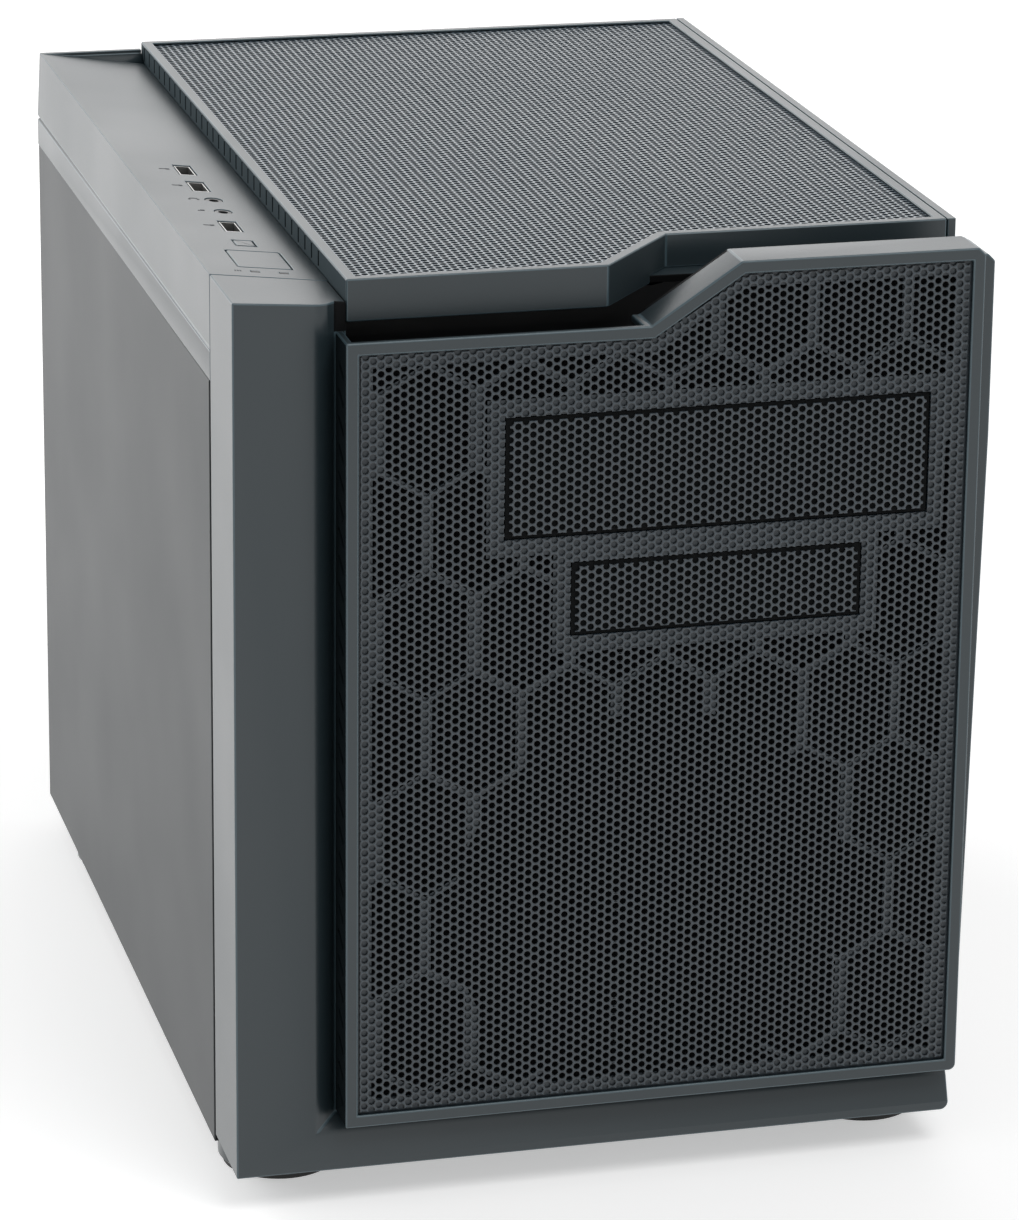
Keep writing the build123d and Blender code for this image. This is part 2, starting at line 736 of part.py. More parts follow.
with BuildPart() as frame_hollow:
    with BuildSketch(facing(y_rim + wall)):
        Polygon(
            (x_left + wall, z_floor + wall),
            (bezel_right - wall, z_floor + wall),
            (bezel_right - wall, bezel_bottom + wall),
            (x_flange - flange_taper - wall, bezel_bottom + wall),
            (x_flange - wall, z_floor + flange_bend_height),
            (x_flange - wall, z_frame_deck - wall),
            (x_strip_end - wall, z_frame_deck - wall),
            (x_strip_end - wall, strip_end_z - wall),
            (x_left + wall, z_ridge - wall - wall * tan(radians(strip_angle))),
            align=None,
        )
    extrude(amount=-frame_depth)
    dish(wall, Mode.SUBTRACT)
    block((bezel_left - gap, dish_right), (y_rim, y_plate + wall), (bezel_bottom - gap, z_bezel), Mode.SUBTRACT)

# Front moulding: side walls, sloped borders, the plate that the bezel stands on, and a flange beside it
window_left = bezel_left + wall
window_right = bezel_right - wall
window_bottom = bezel_bottom + wall
window_top = z_frame_deck - 2 * wall
z_flange = z_ridge + flange_rise
with BuildPart() as front_frame:
    with BuildSketch(facing(y_rim)):
        Polygon(
            (x_left, z_floor),
            (bezel_right, z_floor),
            (bezel_right, bezel_bottom - gap),
            (x_flange - flange_taper, bezel_bottom - gap),
            (x_flange, z_floor + flange_bend_height),
            (x_flange, z_frame_deck),
            (x_strip_end, z_frame_deck),
            (x_strip_end, strip_end_z),
            (x_left, z_ridge),
            align=None,
        )
    extrude(amount=-(frame_depth - gap))
    fillet(front_frame.edges().filter_by(Axis.Y).group_by(Axis.Z)[0].sort_by(Axis.X)[-1:], chin_radius)
    dish(0, Mode.SUBTRACT)
    add(frame_hollow.part, mode=Mode.SUBTRACT)
    with BuildSketch(facing(y_plate)):
        Polygon(
            (bend_low + wall, z_frame_deck - wall),
            (bezel_right + wall, z_frame_deck - wall),
            (bezel_right + wall, z_flange - flange_chamfer),
            (bezel_right - wall, z_bezel - gap),
            (bend_high + gap, z_bezel - gap),
            (bend_low + wall, z_bezel_low + wall / 2),
            align=None,
        )
    extrude(amount=-wall)
    with BuildSketch(facing(y_rim)):
        Polygon(
            (dish_right, z_frame_deck - wall),
            (x_flange, z_frame_deck - wall),
            (x_flange, z_flange - flange_chamfer),
            (x_flange - flange_chamfer, z_flange),
            (dish_right, z_flange),
            align=None,
        )
    extrude(amount=-flange_length)
    block((window_left, window_right), (y_plate, y_plate + wall), (window_bottom, window_top), Mode.SUBTRACT)
front_frame.part.label = "front_frame"
export_step(front_frame.part, "parts/front_frame.step")

# Raised bezel around the front mesh, with slanted slits in its left wall
slit_bottom = bezel_bottom + bezel_rim
slit_rows = int((z_bezel_low - bezel_rim - slit_bottom) / bezel_slit_pitch)
with BuildPart() as front_bezel:
    with BuildSketch(facing(y_bezel)):
        Polygon(*bezel_outline, align=None)
    extrude(amount=-bezel_reach)
    right_edges = front_bezel.edges().filter_by(Axis.Y).group_by(Axis.X)[-1].sort_by(Axis.Z)
    chamfer(right_edges[-1:], bezel_corner)
    fillet(right_edges[:1], bezel_corner)
    with BuildSketch(facing(y_bezel + bezel_lip)):
        Polygon(*bezel_outline, align=None)
        offset(amount=-wall, kind=Kind.INTERSECTION, mode=Mode.REPLACE)
    extrude(amount=-bezel_reach, mode=Mode.SUBTRACT)
    with BuildSketch(facing(y_bezel)):
        Polygon(*bezel_outline, align=None)
        offset(amount=-bezel_rim, kind=Kind.INTERSECTION, mode=Mode.REPLACE)
    extrude(amount=-bezel_reach, mode=Mode.SUBTRACT)
    low_x = (bezel_left + wall, bend_low - wall)
    block(low_x, (y_bezel + wall, y_plate), (z_bezel_low - wall, z_bezel_low), Mode.SUBTRACT)
    with BuildSketch(Plane.YZ.offset(bezel_left)):
        with Locations((y_bezel + bezel_reach / 2, slit_bottom + slit_rows * bezel_slit_pitch / 2)):
            with GridLocations(0, bezel_slit_pitch, 1, slit_rows):
                SlotOverall(bezel_slit_length, bezel_slit_height, rotation=bezel_slit_angle)
    extrude(amount=wall / 2, mode=Mode.SUBTRACT)
front_bezel.part.label = "front_bezel"
export_step(front_bezel.part, "parts/front_bezel.step")

# Sheets inside the bezel, front to back: perforated steel, honeycomb backing, dust filter
y_mesh = y_bezel + bezel_lip
y_backing = y_mesh + mesh_thickness
y_filter = y_backing + backing_thickness
with BuildPart() as front_mesh:
    with BuildSketch(facing(y_mesh)):
        Polygon(*bezel_outline, align=None)
        offset(amount=-(wall + gap), kind=Kind.INTERSECTION, mode=Mode.REPLACE)
        bay_openings(mode=Mode.SUBTRACT)
    extrude(amount=-mesh_thickness)
front_mesh.part.label = "front_mesh"
export_step(front_mesh.part, "parts/front_mesh.step")

cell_slope = cell_pitch / 2 * tan(radians(30))
cell_half = (cell_pitch - cell_rib) / 2
cell_corner = (cell_row_pitch - cell_slope) / 2
cell_peak = cell_corner + cell_half * tan(radians(30))
cell_x = x_left + cell_centre_from_left
cell_z = z_ridge - cell_centre_from_ridge
cell_places = [
    (cell_x + (i + (j % 2) / 2) * cell_pitch, cell_z - j * cell_row_pitch)
    for i in range(-1, 7)
    for j in range(-1, 8)
]
with BuildSketch(facing(y_backing)) as cell_field:
    with Locations(*cell_places):
        Polygon(
            (0, cell_peak),
            (-cell_half, cell_corner),
            (-cell_half, -cell_corner),
            (0, -cell_peak),
            (cell_half, -cell_corner),
            (cell_half, cell_corner),
            align=None,
        )
    with Locations(fan_front_centre):
        Circle(front_fan_size / 2)
with BuildSketch(facing(y_backing)) as cell_limits:
    Polygon(*bezel_outline, align=None)
    offset(amount=-(bezel_rim + cell_border), kind=Kind.INTERSECTION, mode=Mode.REPLACE)
    bay_openings(bay_band, Mode.SUBTRACT)
with BuildPart() as honeycomb_backing:
    with BuildSketch(facing(y_backing)):
        Polygon(*bezel_outline, align=None)
        offset(amount=-(wall + gap), kind=Kind.INTERSECTION, mode=Mode.REPLACE)
        bay_openings(mode=Mode.SUBTRACT)
    extrude(amount=-backing_thickness)
    extrude(cell_field.sketch & cell_limits.sketch, amount=-backing_thickness, mode=Mode.SUBTRACT)
honeycomb_backing.part.label = "honeycomb_backing"
export_step(honeycomb_backing.part, "parts/honeycomb_backing.step")

with BuildPart() as front_filter:
    with BuildSketch(facing(y_filter)):
        Polygon(*bezel_outline, align=None)
        offset(amount=-(wall + gap), kind=Kind.INTERSECTION, mode=Mode.REPLACE)
        bay_openings(mode=Mode.SUBTRACT)
    extrude(amount=-filter_thickness)
front_filter.part.label = "front_filter"
export_step(front_filter.part, "parts/front_filter.step")

# Bay covers: a perforated face on a shallow plastic box
for bay_name, (left, right, bottom, top) in bays.items():
    face_x = (left + cover_gap, right - cover_gap)
    face_z = (bottom + cover_gap, top - cover_gap)
    with BuildPart() as cover_mesh:
        block(face_x, (y_mesh, y_backing), face_z)
    cover_mesh.part.label = f"{bay_name}_bay_mesh"
    export_step(cover_mesh.part, f"parts/{bay_name}_bay_mesh.step")

    with BuildPart() as bay_cover:
        block(face_x, (y_backing, y_backing + cover_depth), face_z)
        inner_x = (face_x[0] + cover_wall, face_x[1] - cover_wall)
        inner_z = (face_z[0] + cover_wall, face_z[1] - cover_wall)
        block(inner_x, (y_backing + cover_wall, y_backing + 2 * cover_depth), inner_z, Mode.SUBTRACT)
    bay_cover.part.label = f"{bay_name}_bay_cover"
    export_step(bay_cover.part, f"parts/{bay_name}_bay_cover.step")

# Top cover: flared skirts over a grooved band, sloped control strip, deck with the air opening, closed back end
cover_length = y_cover_back - y_steel
slope_step = wall * tan(radians(strip_angle))
z_skirt = z_ridge - skirt_drop
z_lip = z_skirt - lip_height
post_drop = board_depth - wall
board_middle = (light_y + usb_ys[-1]) / 2
post_ys = (reset_y + reset_size[1], usb_ys[1] - usb_window[1])
deck_opening = (x_strip_end + hood_rim + wall, x_right - hood_rim - 2 * wall)
deck_opening_y = (y_notch + 2 * hood_rim, y_cover_back - 4 * hood_rim)
with BuildPart() as top_cover:
    with BuildSketch(facing(y_steel)):
        Polygon(
            (x_left - skirt_flare, z_lip),
            (x_left - skirt_flare, z_skirt - 2 * sheet),
            (x_left, z_skirt - sheet),
            (x_left - skirt_flare, z_skirt),
            (x_left, z_ridge),
            (x_strip_end, strip_end_z),
            (x_strip_end, z_deck),
            (x_right + skirt_flare - cover_flange, z_deck),
            (x_right + skirt_flare - cover_flange, z_hood),
            (x_right + skirt_flare, z_hood),
            (x_right + skirt_flare, z_skirt),
            (x_right, z_skirt - sheet),
            (x_right + skirt_flare, z_skirt - 2 * sheet),
            (x_right + skirt_flare, z_lip),
            (x_right - wall, z_lip),
            (x_right - wall, z_deck - wall),
            (x_strip_end, z_deck - wall),
            (x_strip_end, z_roof_top),
            (x_strip_end - wall, z_roof_top),
            (x_strip_end - wall, strip_end_z - wall),
            (x_left + wall, z_ridge - wall - slope_step),
            (x_left + wall, z_lip),
            align=None,
        )
    extrude(amount=-cover_length)
    block(deck_opening, deck_opening_y, (z_roof_top, z_ridge), Mode.SUBTRACT)
    block((hood_right, x_right + 2 * skirt_flare), (y_steel, y_panel), (z_deck, z_hood), Mode.SUBTRACT)
    with BuildSketch(facing(y_cover_back - wall)):
        Polygon(
            (x_left, z_roof_top),
            (x_right, z_roof_top),
            (x_right, z_deck),
            (x_strip_end, z_deck),
            (x_strip_end, z_ridge),
            (x_left, z_ridge),
            align=None,
        )
    extrude(amount=-wall)
    with BuildSketch(Plane.YZ.offset(x_left)):
        Polygon(
            (y_cover_back - gusset_length, strip_end_z - wall),
            (y_cover_back, strip_end_z - wall),
            (y_cover_back, z_ridge),
            (y_cover_back - gusset_length, strip_end_z),
            align=None,
        )
    extrude(amount=strip_width - gap)
    with BuildSketch(strip.offset(-wall)):
        with Locations(*[(port_slope_x, y) for y in post_ys]):
            with GridLocations(post_spread, 0, 2, 1):
                Circle(post_radius)
    extrude(amount=-post_drop)
    with BuildSketch(strip.offset(wall)):
        with Locations(*[(port_slope_x, y) for y in usb_ys]):
            Rectangle(*usb_window)
        with Locations(*[(jack_slope_x, y) for y in jack_ys]):
            Circle(jack_radius + gap)
        with Locations((power_slope_x, power_y)):
            RectangleRounded(power_size[0] + 2 * gap, power_size[1] + 2 * gap, wall / 2)
        with Locations((reset_slope_x, reset_y)):
            Rectangle(reset_size[0] + 2 * gap, reset_size[1] + 2 * gap)
        with Locations(*[(u, light_y) for u in light_slope_xs]):
            Rectangle(*light_size)
    extrude(amount=-3 * wall, mode=Mode.SUBTRACT)
top_cover.part.label = "top_cover"
export_step(top_cover.part, "parts/top_cover.step")

# Buttons: a cap flush with the strip and a stem that ends above its switch
stem_end = board_depth - switch_size / 2 - button_travel - gap
button_specs = {
    "power_button": (power_slope_x, power_y, power_size, wall / 2),
    "reset_button": (reset_slope_x, reset_y, reset_size, gap),
}
for button_name, (u, y, size, corner) in button_specs.items():
    with BuildPart() as button:
        with BuildSketch(strip):
            with Locations((u, y)):
                RectangleRounded(*size, corner)
        extrude(amount=-button_cap)
        with BuildSketch(strip):
            with Locations((u, y)):
                Circle(button_stem_radius)
        extrude(amount=-stem_end)
    button.part.label = button_name
    export_step(button.part, f"parts/{button_name}.step")

# Small circuit board under the strip, with the two switches
with BuildPart() as io_board:
    with BuildSketch(strip.offset(-board_depth)):
        with Locations((port_slope_x, board_middle)):
            Rectangle(board_width, usb_ys[-1] - light_y + 2 * board_end_margin)
    extrude(amount=-board_thickness)
    with BuildSketch(strip.offset(-board_depth)):
        with Locations((power_slope_x, power_y), (reset_slope_x, reset_y)):
            Rectangle(switch_size, switch_size)
    extrude(amount=switch_size / 2)
io_board.part.label = "io_board"
export_step(io_board.part, "parts/io_board.step")

# USB sockets: a folded shell round a flat tongue, standing on the board
with BuildPart() as usb_tongues:
    with BuildSketch(strip.offset(-board_depth)):
        with Locations(*[(port_slope_x - usb_tongue[0] / 2, y) for y in usb_ys]):
            Rectangle(usb_tongue[0], usb_tongue[1])
    extrude(amount=usb_tongue[2] + wall)
usb_tongues.part.label = "usb_tongues"
export_step(usb_tongues.part, "parts/usb_tongues.step")

for i, y in enumerate(usb_ys):
    with BuildPart() as usb_port:
        with BuildSketch(strip.offset(-board_depth)):
            with Locations((port_slope_x, y)):
                Rectangle(*usb_shell)
                Rectangle(usb_shell[0] - 2 * usb_shell_wall, usb_shell[1] - 2 * usb_shell_wall, mode=Mode.SUBTRACT)
        extrude(amount=board_depth - gap)
    usb_port.part.label = f"usb_port_{i + 1}"
    export_step(usb_port.part, f"parts/usb_port_{i + 1}.step")

for i, y in enumerate(jack_ys):
    with BuildPart() as audio_jack:
        with BuildSketch(strip.offset(-board_depth)):
            with Locations((jack_slope_x, y)):
                Circle(jack_radius)
                Circle(jack_bore, mode=Mode.SUBTRACT)
        extrude(amount=board_depth - gap)
    audio_jack.part.label = f"audio_jack_{i + 1}"
    export_step(audio_jack.part, f"parts/audio_jack_{i + 1}.step")

# Light pipes of the two indicators, from the board up to the strip
with BuildPart() as indicator_lights:
    with BuildSketch(strip.offset(-board_depth)):
        with Locations(*[(u, light_y) for u in light_slope_xs]):
            Rectangle(light_size[0] - gap, light_size[1] - gap)
    extrude(amount=board_depth)
indicator_lights.part.label = "indicator_lights"
export_step(indicator_lights.part, "parts/indicator_lights.step")

# Hood over the deck: a rim with an inner lip, deeper at the front, and slits in its left wall
slit_count = int((y_cover_back - y_notch) / hood_slit_pitch)
with BuildPart() as hood_frame:
    with BuildSketch(Plane.XY.offset(z_deck)):
        Polygon(*hood_outline, align=None)
    extrude(amount=z_hood - z_deck)
    with BuildSketch(Plane.XY.offset(z_hood - hood_front_height)):
        Polygon(
            (hood_left, hood_front),
            (notch_start, hood_front),
            (notch_start + hood_notch_width * (y_steel - gap - hood_front) / hood_notch_depth, y_steel - gap),
            (hood_left, y_steel - gap),
            align=None,
        )
    extrude(amount=hood_front_height)
    with BuildSketch(Plane.XY.offset(z_hood - hood_lip)):
        Polygon(*hood_outline, align=None)
        offset(amount=-wall, kind=Kind.INTERSECTION, mode=Mode.REPLACE)
    extrude(amount=-2 * hood_front_height, mode=Mode.SUBTRACT)
    with BuildSketch(Plane.XY.offset(z_hood)):
        Polygon(*hood_outline, align=None)
        offset(amount=-hood_rim, kind=Kind.INTERSECTION, mode=Mode.REPLACE)
    extrude(amount=-2 * hood_lip, mode=Mode.SUBTRACT)
    with BuildSketch(Plane.YZ.offset(hood_left)):
        slit_top = z_hood - hood_slit_margin
        slit_foot = z_ridge - strip_fall + hood_slit_margin / 2
        with Locations(((y_notch + y_cover_back) / 2, (slit_top + slit_foot) / 2)):
            with GridLocations(hood_slit_pitch, 0, slit_count, 1):
                Rectangle(hood_slit_width, slit_top - slit_foot)
    extrude(amount=wall, mode=Mode.SUBTRACT)
hood_frame.part.label = "hood_frame"
export_step(hood_frame.part, "parts/hood_frame.step")

# Sheet of the hood, with the field of fine holes simplified to a grid of larger openings
grid_middle = ((hood_left + hood_right) / 2, (hood_front + y_cover_back) / 2)
grid_pitch = (hood_right - hood_left) / hood_grid_counts[0]
with BuildSketch(Plane.XY.offset(z_hood - hood_lip)) as hood_grid:
    with Locations(grid_middle):
        with GridLocations(grid_pitch, grid_pitch, *hood_grid_counts):
            Rectangle(grid_pitch - hood_grid_bar, grid_pitch - hood_grid_bar)
with BuildSketch(Plane.XY.offset(z_hood - hood_lip)) as grid_limits:
    Polygon(*hood_outline, align=None)
    offset(amount=-(hood_rim + hood_grid_bar), kind=Kind.INTERSECTION, mode=Mode.REPLACE)
with BuildPart() as hood_mesh:
    with BuildSketch(Plane.XY.offset(z_hood - hood_lip)):
        Polygon(*hood_outline, align=None)
        offset(amount=-(wall + gap), kind=Kind.INTERSECTION, mode=Mode.REPLACE)
    extrude(amount=-mesh_thickness)
    extrude(hood_grid.sketch & grid_limits.sketch, amount=-mesh_thickness, mode=Mode.SUBTRACT)
hood_mesh.part.label = "hood_mesh"
export_step(hood_mesh.part, "parts/hood_mesh.step")
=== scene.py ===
import json
import math

import bmesh
import bpy
from mathutils import Matrix, Vector

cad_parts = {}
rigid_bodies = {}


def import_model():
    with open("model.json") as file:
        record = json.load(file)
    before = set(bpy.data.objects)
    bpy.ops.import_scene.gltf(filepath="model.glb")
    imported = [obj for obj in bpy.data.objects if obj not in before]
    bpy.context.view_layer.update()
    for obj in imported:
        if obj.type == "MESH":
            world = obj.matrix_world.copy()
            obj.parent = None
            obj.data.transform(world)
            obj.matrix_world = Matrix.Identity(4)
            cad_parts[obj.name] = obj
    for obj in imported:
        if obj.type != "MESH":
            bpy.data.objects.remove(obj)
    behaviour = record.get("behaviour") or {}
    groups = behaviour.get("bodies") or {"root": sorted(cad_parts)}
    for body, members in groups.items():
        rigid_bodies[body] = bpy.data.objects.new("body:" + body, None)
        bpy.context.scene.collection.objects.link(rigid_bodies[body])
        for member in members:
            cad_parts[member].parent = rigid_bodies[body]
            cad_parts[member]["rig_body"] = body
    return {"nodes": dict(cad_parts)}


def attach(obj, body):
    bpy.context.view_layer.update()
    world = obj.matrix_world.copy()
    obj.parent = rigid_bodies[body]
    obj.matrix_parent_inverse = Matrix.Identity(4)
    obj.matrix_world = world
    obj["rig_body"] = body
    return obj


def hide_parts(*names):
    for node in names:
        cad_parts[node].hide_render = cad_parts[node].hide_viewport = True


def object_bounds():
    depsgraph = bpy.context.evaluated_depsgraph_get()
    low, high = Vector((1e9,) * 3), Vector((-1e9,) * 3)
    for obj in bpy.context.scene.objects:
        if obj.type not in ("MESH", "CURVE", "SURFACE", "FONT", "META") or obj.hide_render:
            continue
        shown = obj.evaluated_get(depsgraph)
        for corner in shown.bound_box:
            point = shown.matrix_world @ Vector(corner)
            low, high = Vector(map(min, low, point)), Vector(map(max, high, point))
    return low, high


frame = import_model()
CAD_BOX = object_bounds()
SLOTS = {name: node.material_slots[0].material.name.split(".")[0] for name, node in frame["nodes"].items()}

bl_info = {
    "name": "Micro ATX cube case",
    "version": (1, 0, 0),
    "blender": (4, 5, 0),
    "location": "3D View > Sidebar > Cube case",
    "description": "Builds the perforated sheets, eased mouldings, signs and finishes of a cube case",
    "category": "Object",
}

# Where the front moulding, the top cover and the hood meet, in metres
FRAME_SIDE_X = 0.132
COVER_FRONT_Y = -0.1555
FLANGE_FRONT_Y = -0.1535
FLANGE_SIDE_X = 0.1295
FLANGE_FOOT_Z = 0.3160
HOOD_FRONT_Y = -0.1467
BEZEL_TOP_Z = 0.3113

# The knee where the front moulding's borders turn down to the bezel
KNEE_Y = -0.1895
KNEE_RADIUS = 0.0035
KNEE_STEPS = 5

# Edges sharper than this are eased, in so many steps
SHARP_ANGLE = math.radians(32)
EASED_STEPS = 2

# The sloped control strip: its front corner, its slope, and how its printed signs stand on it
MILLIMETRES = 1000
STRIP_CORNER = Vector((-0.132, -0.2, 0.3257))
STRIP_SLOPE = math.radians(6.4)
STRIP_ALONG = Vector((math.cos(STRIP_SLOPE), 0.0, -math.sin(STRIP_SLOPE)))
STRIP_OUT = Vector((math.sin(STRIP_SLOPE), 0.0, math.cos(STRIP_SLOPE)))
SIGN_RISE = 0.00008
SIGN_DEPTH = 0.0001

# Clouds and specks in the paint and plastic, and how far the clouds shift colour and gloss
CLOUD_SCALE = 14.0
SPECK_SHARE = 0.31
COLOUR_DRIFT = 0.10
GLOSS_DRIFT = 0.1

# Points this near are one point: of the CAD meshes, and of a field of holes
CAD_SLACK = 1e-6
FIELD_SLACK = 1e-5

# A run of edges is straight where it turns by less than this, as a sine; flat faces join below this angle
STRAIGHT_TURN = 0.01
FLAT_ANGLE = math.radians(0.5)

# The floor's two tones, and its glow as the camera and the gloss see it
FLOOR_TONES = (0.80, 0.84)
CAMERA_GLOW = 0.45
GLOSS_GLOW = 0.95

# The photograph's camera
VIEW_AZIMUTH = math.radians(14.75)
VIEW_ELEVATION = math.radians(16.874)
VIEW_ROLL = math.radians(0.673)
VIEW_TARGET = Vector((0.042639, 0.08583, 0.181438))
VIEW_DISTANCE = 1.99958
VIEW_LENS = 179.77
VIEW_SHIFT = (-0.0201, -0.157)


# Node trees


class Signal:
    """A socket of a node tree that sums and products can be written with."""

    def __init__(self, graph, socket):
        self.graph = graph
        self.socket = socket

    def maths(self, operation, *values):
        return self.graph.node("ShaderNodeMath", {"operation": operation}, *values)[0]

    def __add__(self, other):
        return self.maths("ADD", self, other)

    def __radd__(self, other):
        return self.maths("ADD", other, self)

    def __sub__(self, other):
        return self.maths("SUBTRACT", self, other)

    def __mul__(self, other):
        return self.maths("MULTIPLY", self, other)

    def __truediv__(self, other):
        return self.maths("DIVIDE", self, other)

    def __mod__(self, other):
        return self.maths("FLOORED_MODULO", self, other)

    def floor(self):
        return self.maths("FLOOR", self)

    def root(self):
        return self.maths("SQRT", self)

    def least(self, other):
        return self.maths("MINIMUM", self, other)

    def held(self):
        """The value kept between 0 and 1."""
        return self.graph.node("ShaderNodeClamp", {}, self)[0]


class Graph:
    """A material's or modifier's node tree while it is being written."""

    def __init__(self, tree):
        self.tree = tree

    def node(self, kind, settings, *values, **named):
        """Adds a node, sets its settings, then its sockets by order or by name, and returns its outputs."""
        node = self.tree.nodes.new(kind)
        for key, value in settings.items():
            setattr(node, key, value)
        pairs = list(zip(node.inputs, values))
        pairs += [(node.inputs[key.replace("_", " ")], value) for key, value in named.items()]
        for socket, value in pairs:
            if isinstance(value, Signal):
                self.tree.links.new(value.socket, socket)
            elif value is not None:
                socket.default_value = value
        return [Signal(self, socket) for socket in node.outputs]

    def blend(self, factor, first, second):
        """Mixes two colours."""
        unused = (None,) * 5
        return self.node("ShaderNodeMix", {"data_type": "RGBA"}, factor, *unused, first, second)[2]

    def place(self):
        """The object's own coordinates."""
        return self.node("ShaderNodeTexCoord", {})[3]

    def noise(self, place, scale, detail=2.0, roughness=0.5):
        """Soft noise between 0 and 1."""
        sockets = {"Vector": place, "Scale": scale, "Detail": detail, "Roughness": roughness}
        return self.node("ShaderNodeTexNoise", {}, **sockets)[0]

    def bump(self, strength, distance, height):
        """Small relief from a height between 0 and 1."""
        return self.node("ShaderNodeBump", {}, Strength=strength, Distance=distance, Height=height)[0]


# Finishes


def new_finish(name):
    """An empty material and its graph, ending in a Principled shader."""
    material = bpy.data.materials.new(name)
    material.use_nodes = True
    material.node_tree.nodes.clear()
    graph = Graph(material.node_tree)
    shader = material.node_tree.nodes.new("ShaderNodeBsdfPrincipled")
    output = material.node_tree.nodes.new("ShaderNodeOutputMaterial")
    material.node_tree.links.new(shader.outputs[0], output.inputs[0])
    return material, graph, shader


def dress(graph, shader, **values):
    """Links or sets the sockets of a Principled shader."""
    for key, value in values.items():
        socket = shader.inputs[key.replace("_", " ")]
        if isinstance(value, Signal):
            graph.tree.links.new(value.socket, socket)
        else:
            socket.default_value = value


def shade(colour, factor):
    """A colour made lighter or darker."""
    return tuple(channel * factor for channel in colour[:3]) + (1,)


def grained_finish(name, colour, roughness, grain_size, grain_depth, metallic=0.0, specular=0.5):
    """Moulded plastic or baked paint: fine grain in the surface, faint clouds in colour and gloss."""
    material, graph, shader = new_finish(name)
    place = graph.place()
    grain = graph.noise(place, 1 / grain_size, 3.0, 0.6)
    cloud = graph.noise(place, CLOUD_SCALE)
    speck = graph.noise(place, SPECK_SHARE / grain_size, 1.0)
    tone = (cloud * 0.6 + grain * 0.4).held()
    base = graph.blend(tone, shade(colour, 1 - COLOUR_DRIFT), shade(colour, 1 + COLOUR_DRIFT))
    bump = graph.bump(0.5, grain_depth, grain * 0.7 + speck * 0.3)
    dull = roughness - GLOSS_DRIFT / 2 + cloud * GLOSS_DRIFT
    dress(graph, shader, Base_Color=base, Roughness=dull, Normal=bump)
    dress(graph, shader, Metallic=metallic, Specular_IOR_Level=specular)
    return material


def perforated_finish(name, colour, roughness, spacing, radius, upright):
    """Painted perforated steel, darker at the rounded edge of every hole as painted shade and lighter along
    the middle of the bars as a painted highlight.
    """
    material, graph, shader = new_finish(name)
    place = graph.place()
    x, y, z = graph.node("ShaderNodeSeparateXYZ", {}, place)
    column_pitch = spacing * math.sqrt(3)
    corner_reach = spacing * 0.56
    across, up = x / column_pitch, (z if upright else y) / spacing

    def reach(shift):
        side = ((across + shift) % 1.0 - 0.5) * column_pitch
        height = ((up + shift) % 1.0 - 0.5) * spacing
        return (side * side + height * height).root()

    distance = reach(0.5).least(reach(0.0))
    crown_and_painted_shade = ((distance - radius) / (corner_reach - radius)).held()
    grain = graph.noise(place, 2200.0)
    cloud = graph.noise(place, CLOUD_SCALE)
    # Painted shade at the hole edges and a painted highlight in the middle of the bars; the same crown also
    # bends the surface
    base = graph.blend(crown_and_painted_shade, shade(colour, 0.3), shade(colour, 1.3))
    bump = graph.bump(0.6, 0.00025, crown_and_painted_shade + grain * 0.1)
    dull = roughness - GLOSS_DRIFT / 2 + cloud * GLOSS_DRIFT
    dress(graph, shader, Base_Color=base, Roughness=dull, Normal=bump)
    return material


def foam_finish(name, colour):
    """Dust foam: fine open cells, dull all over."""
    material, graph, shader = new_finish(name)
    place = graph.place()
    fuzz = graph.noise(place, 900.0, 4.0)
    cells = graph.node("ShaderNodeTexVoronoi", {}, Vector=place, Scale=1400.0)[0]
    base = graph.blend(fuzz, shade(colour, 0.5), shade(colour, 1.5))
    bump = graph.bump(0.6, 0.0003, cells + fuzz)
    dress(graph, shader, Base_Color=base, Roughness=0.9, Normal=bump, Specular_IOR_Level=0.1)
    return material


def plated_finish(name, colour, roughness):
    """Plated or turned metal: faint brushing and stains."""
    material, graph, shader = new_finish(name)
    place = graph.place()
    streaks = graph.node("ShaderNodeMapping", {}, Vector=place, Scale=(1.0, 0.05, 1.0))[0]
    brush = graph.noise(streaks, 2500.0)
    stain = graph.noise(place, 120.0, 3.0)
    base = graph.blend(stain, shade(colour, 0.8), shade(colour, 1.05))
    bump = graph.bump(0.2, 0.00004, brush)
    dull = roughness - 0.08 + stain * 0.16
    dress(graph, shader, Base_Color=base, Roughness=dull, Normal=bump, Metallic=1.0)
    return material


def light_finish(name, colour):
    """Milky light pipe of the indicators."""
    material, graph, shader = new_finish(name)
    haze = graph.noise(graph.place(), 700.0)
    base = graph.blend(haze, shade(colour, 0.8), shade(colour, 1.1))
    bump = graph.bump(0.1, 0.00005, haze)
    dress(graph, shader, Base_Color=base, Roughness=0.35 + haze * 0.1, Normal=bump, Specular_IOR_Level=0.2)
    return material


FINISHES = {}


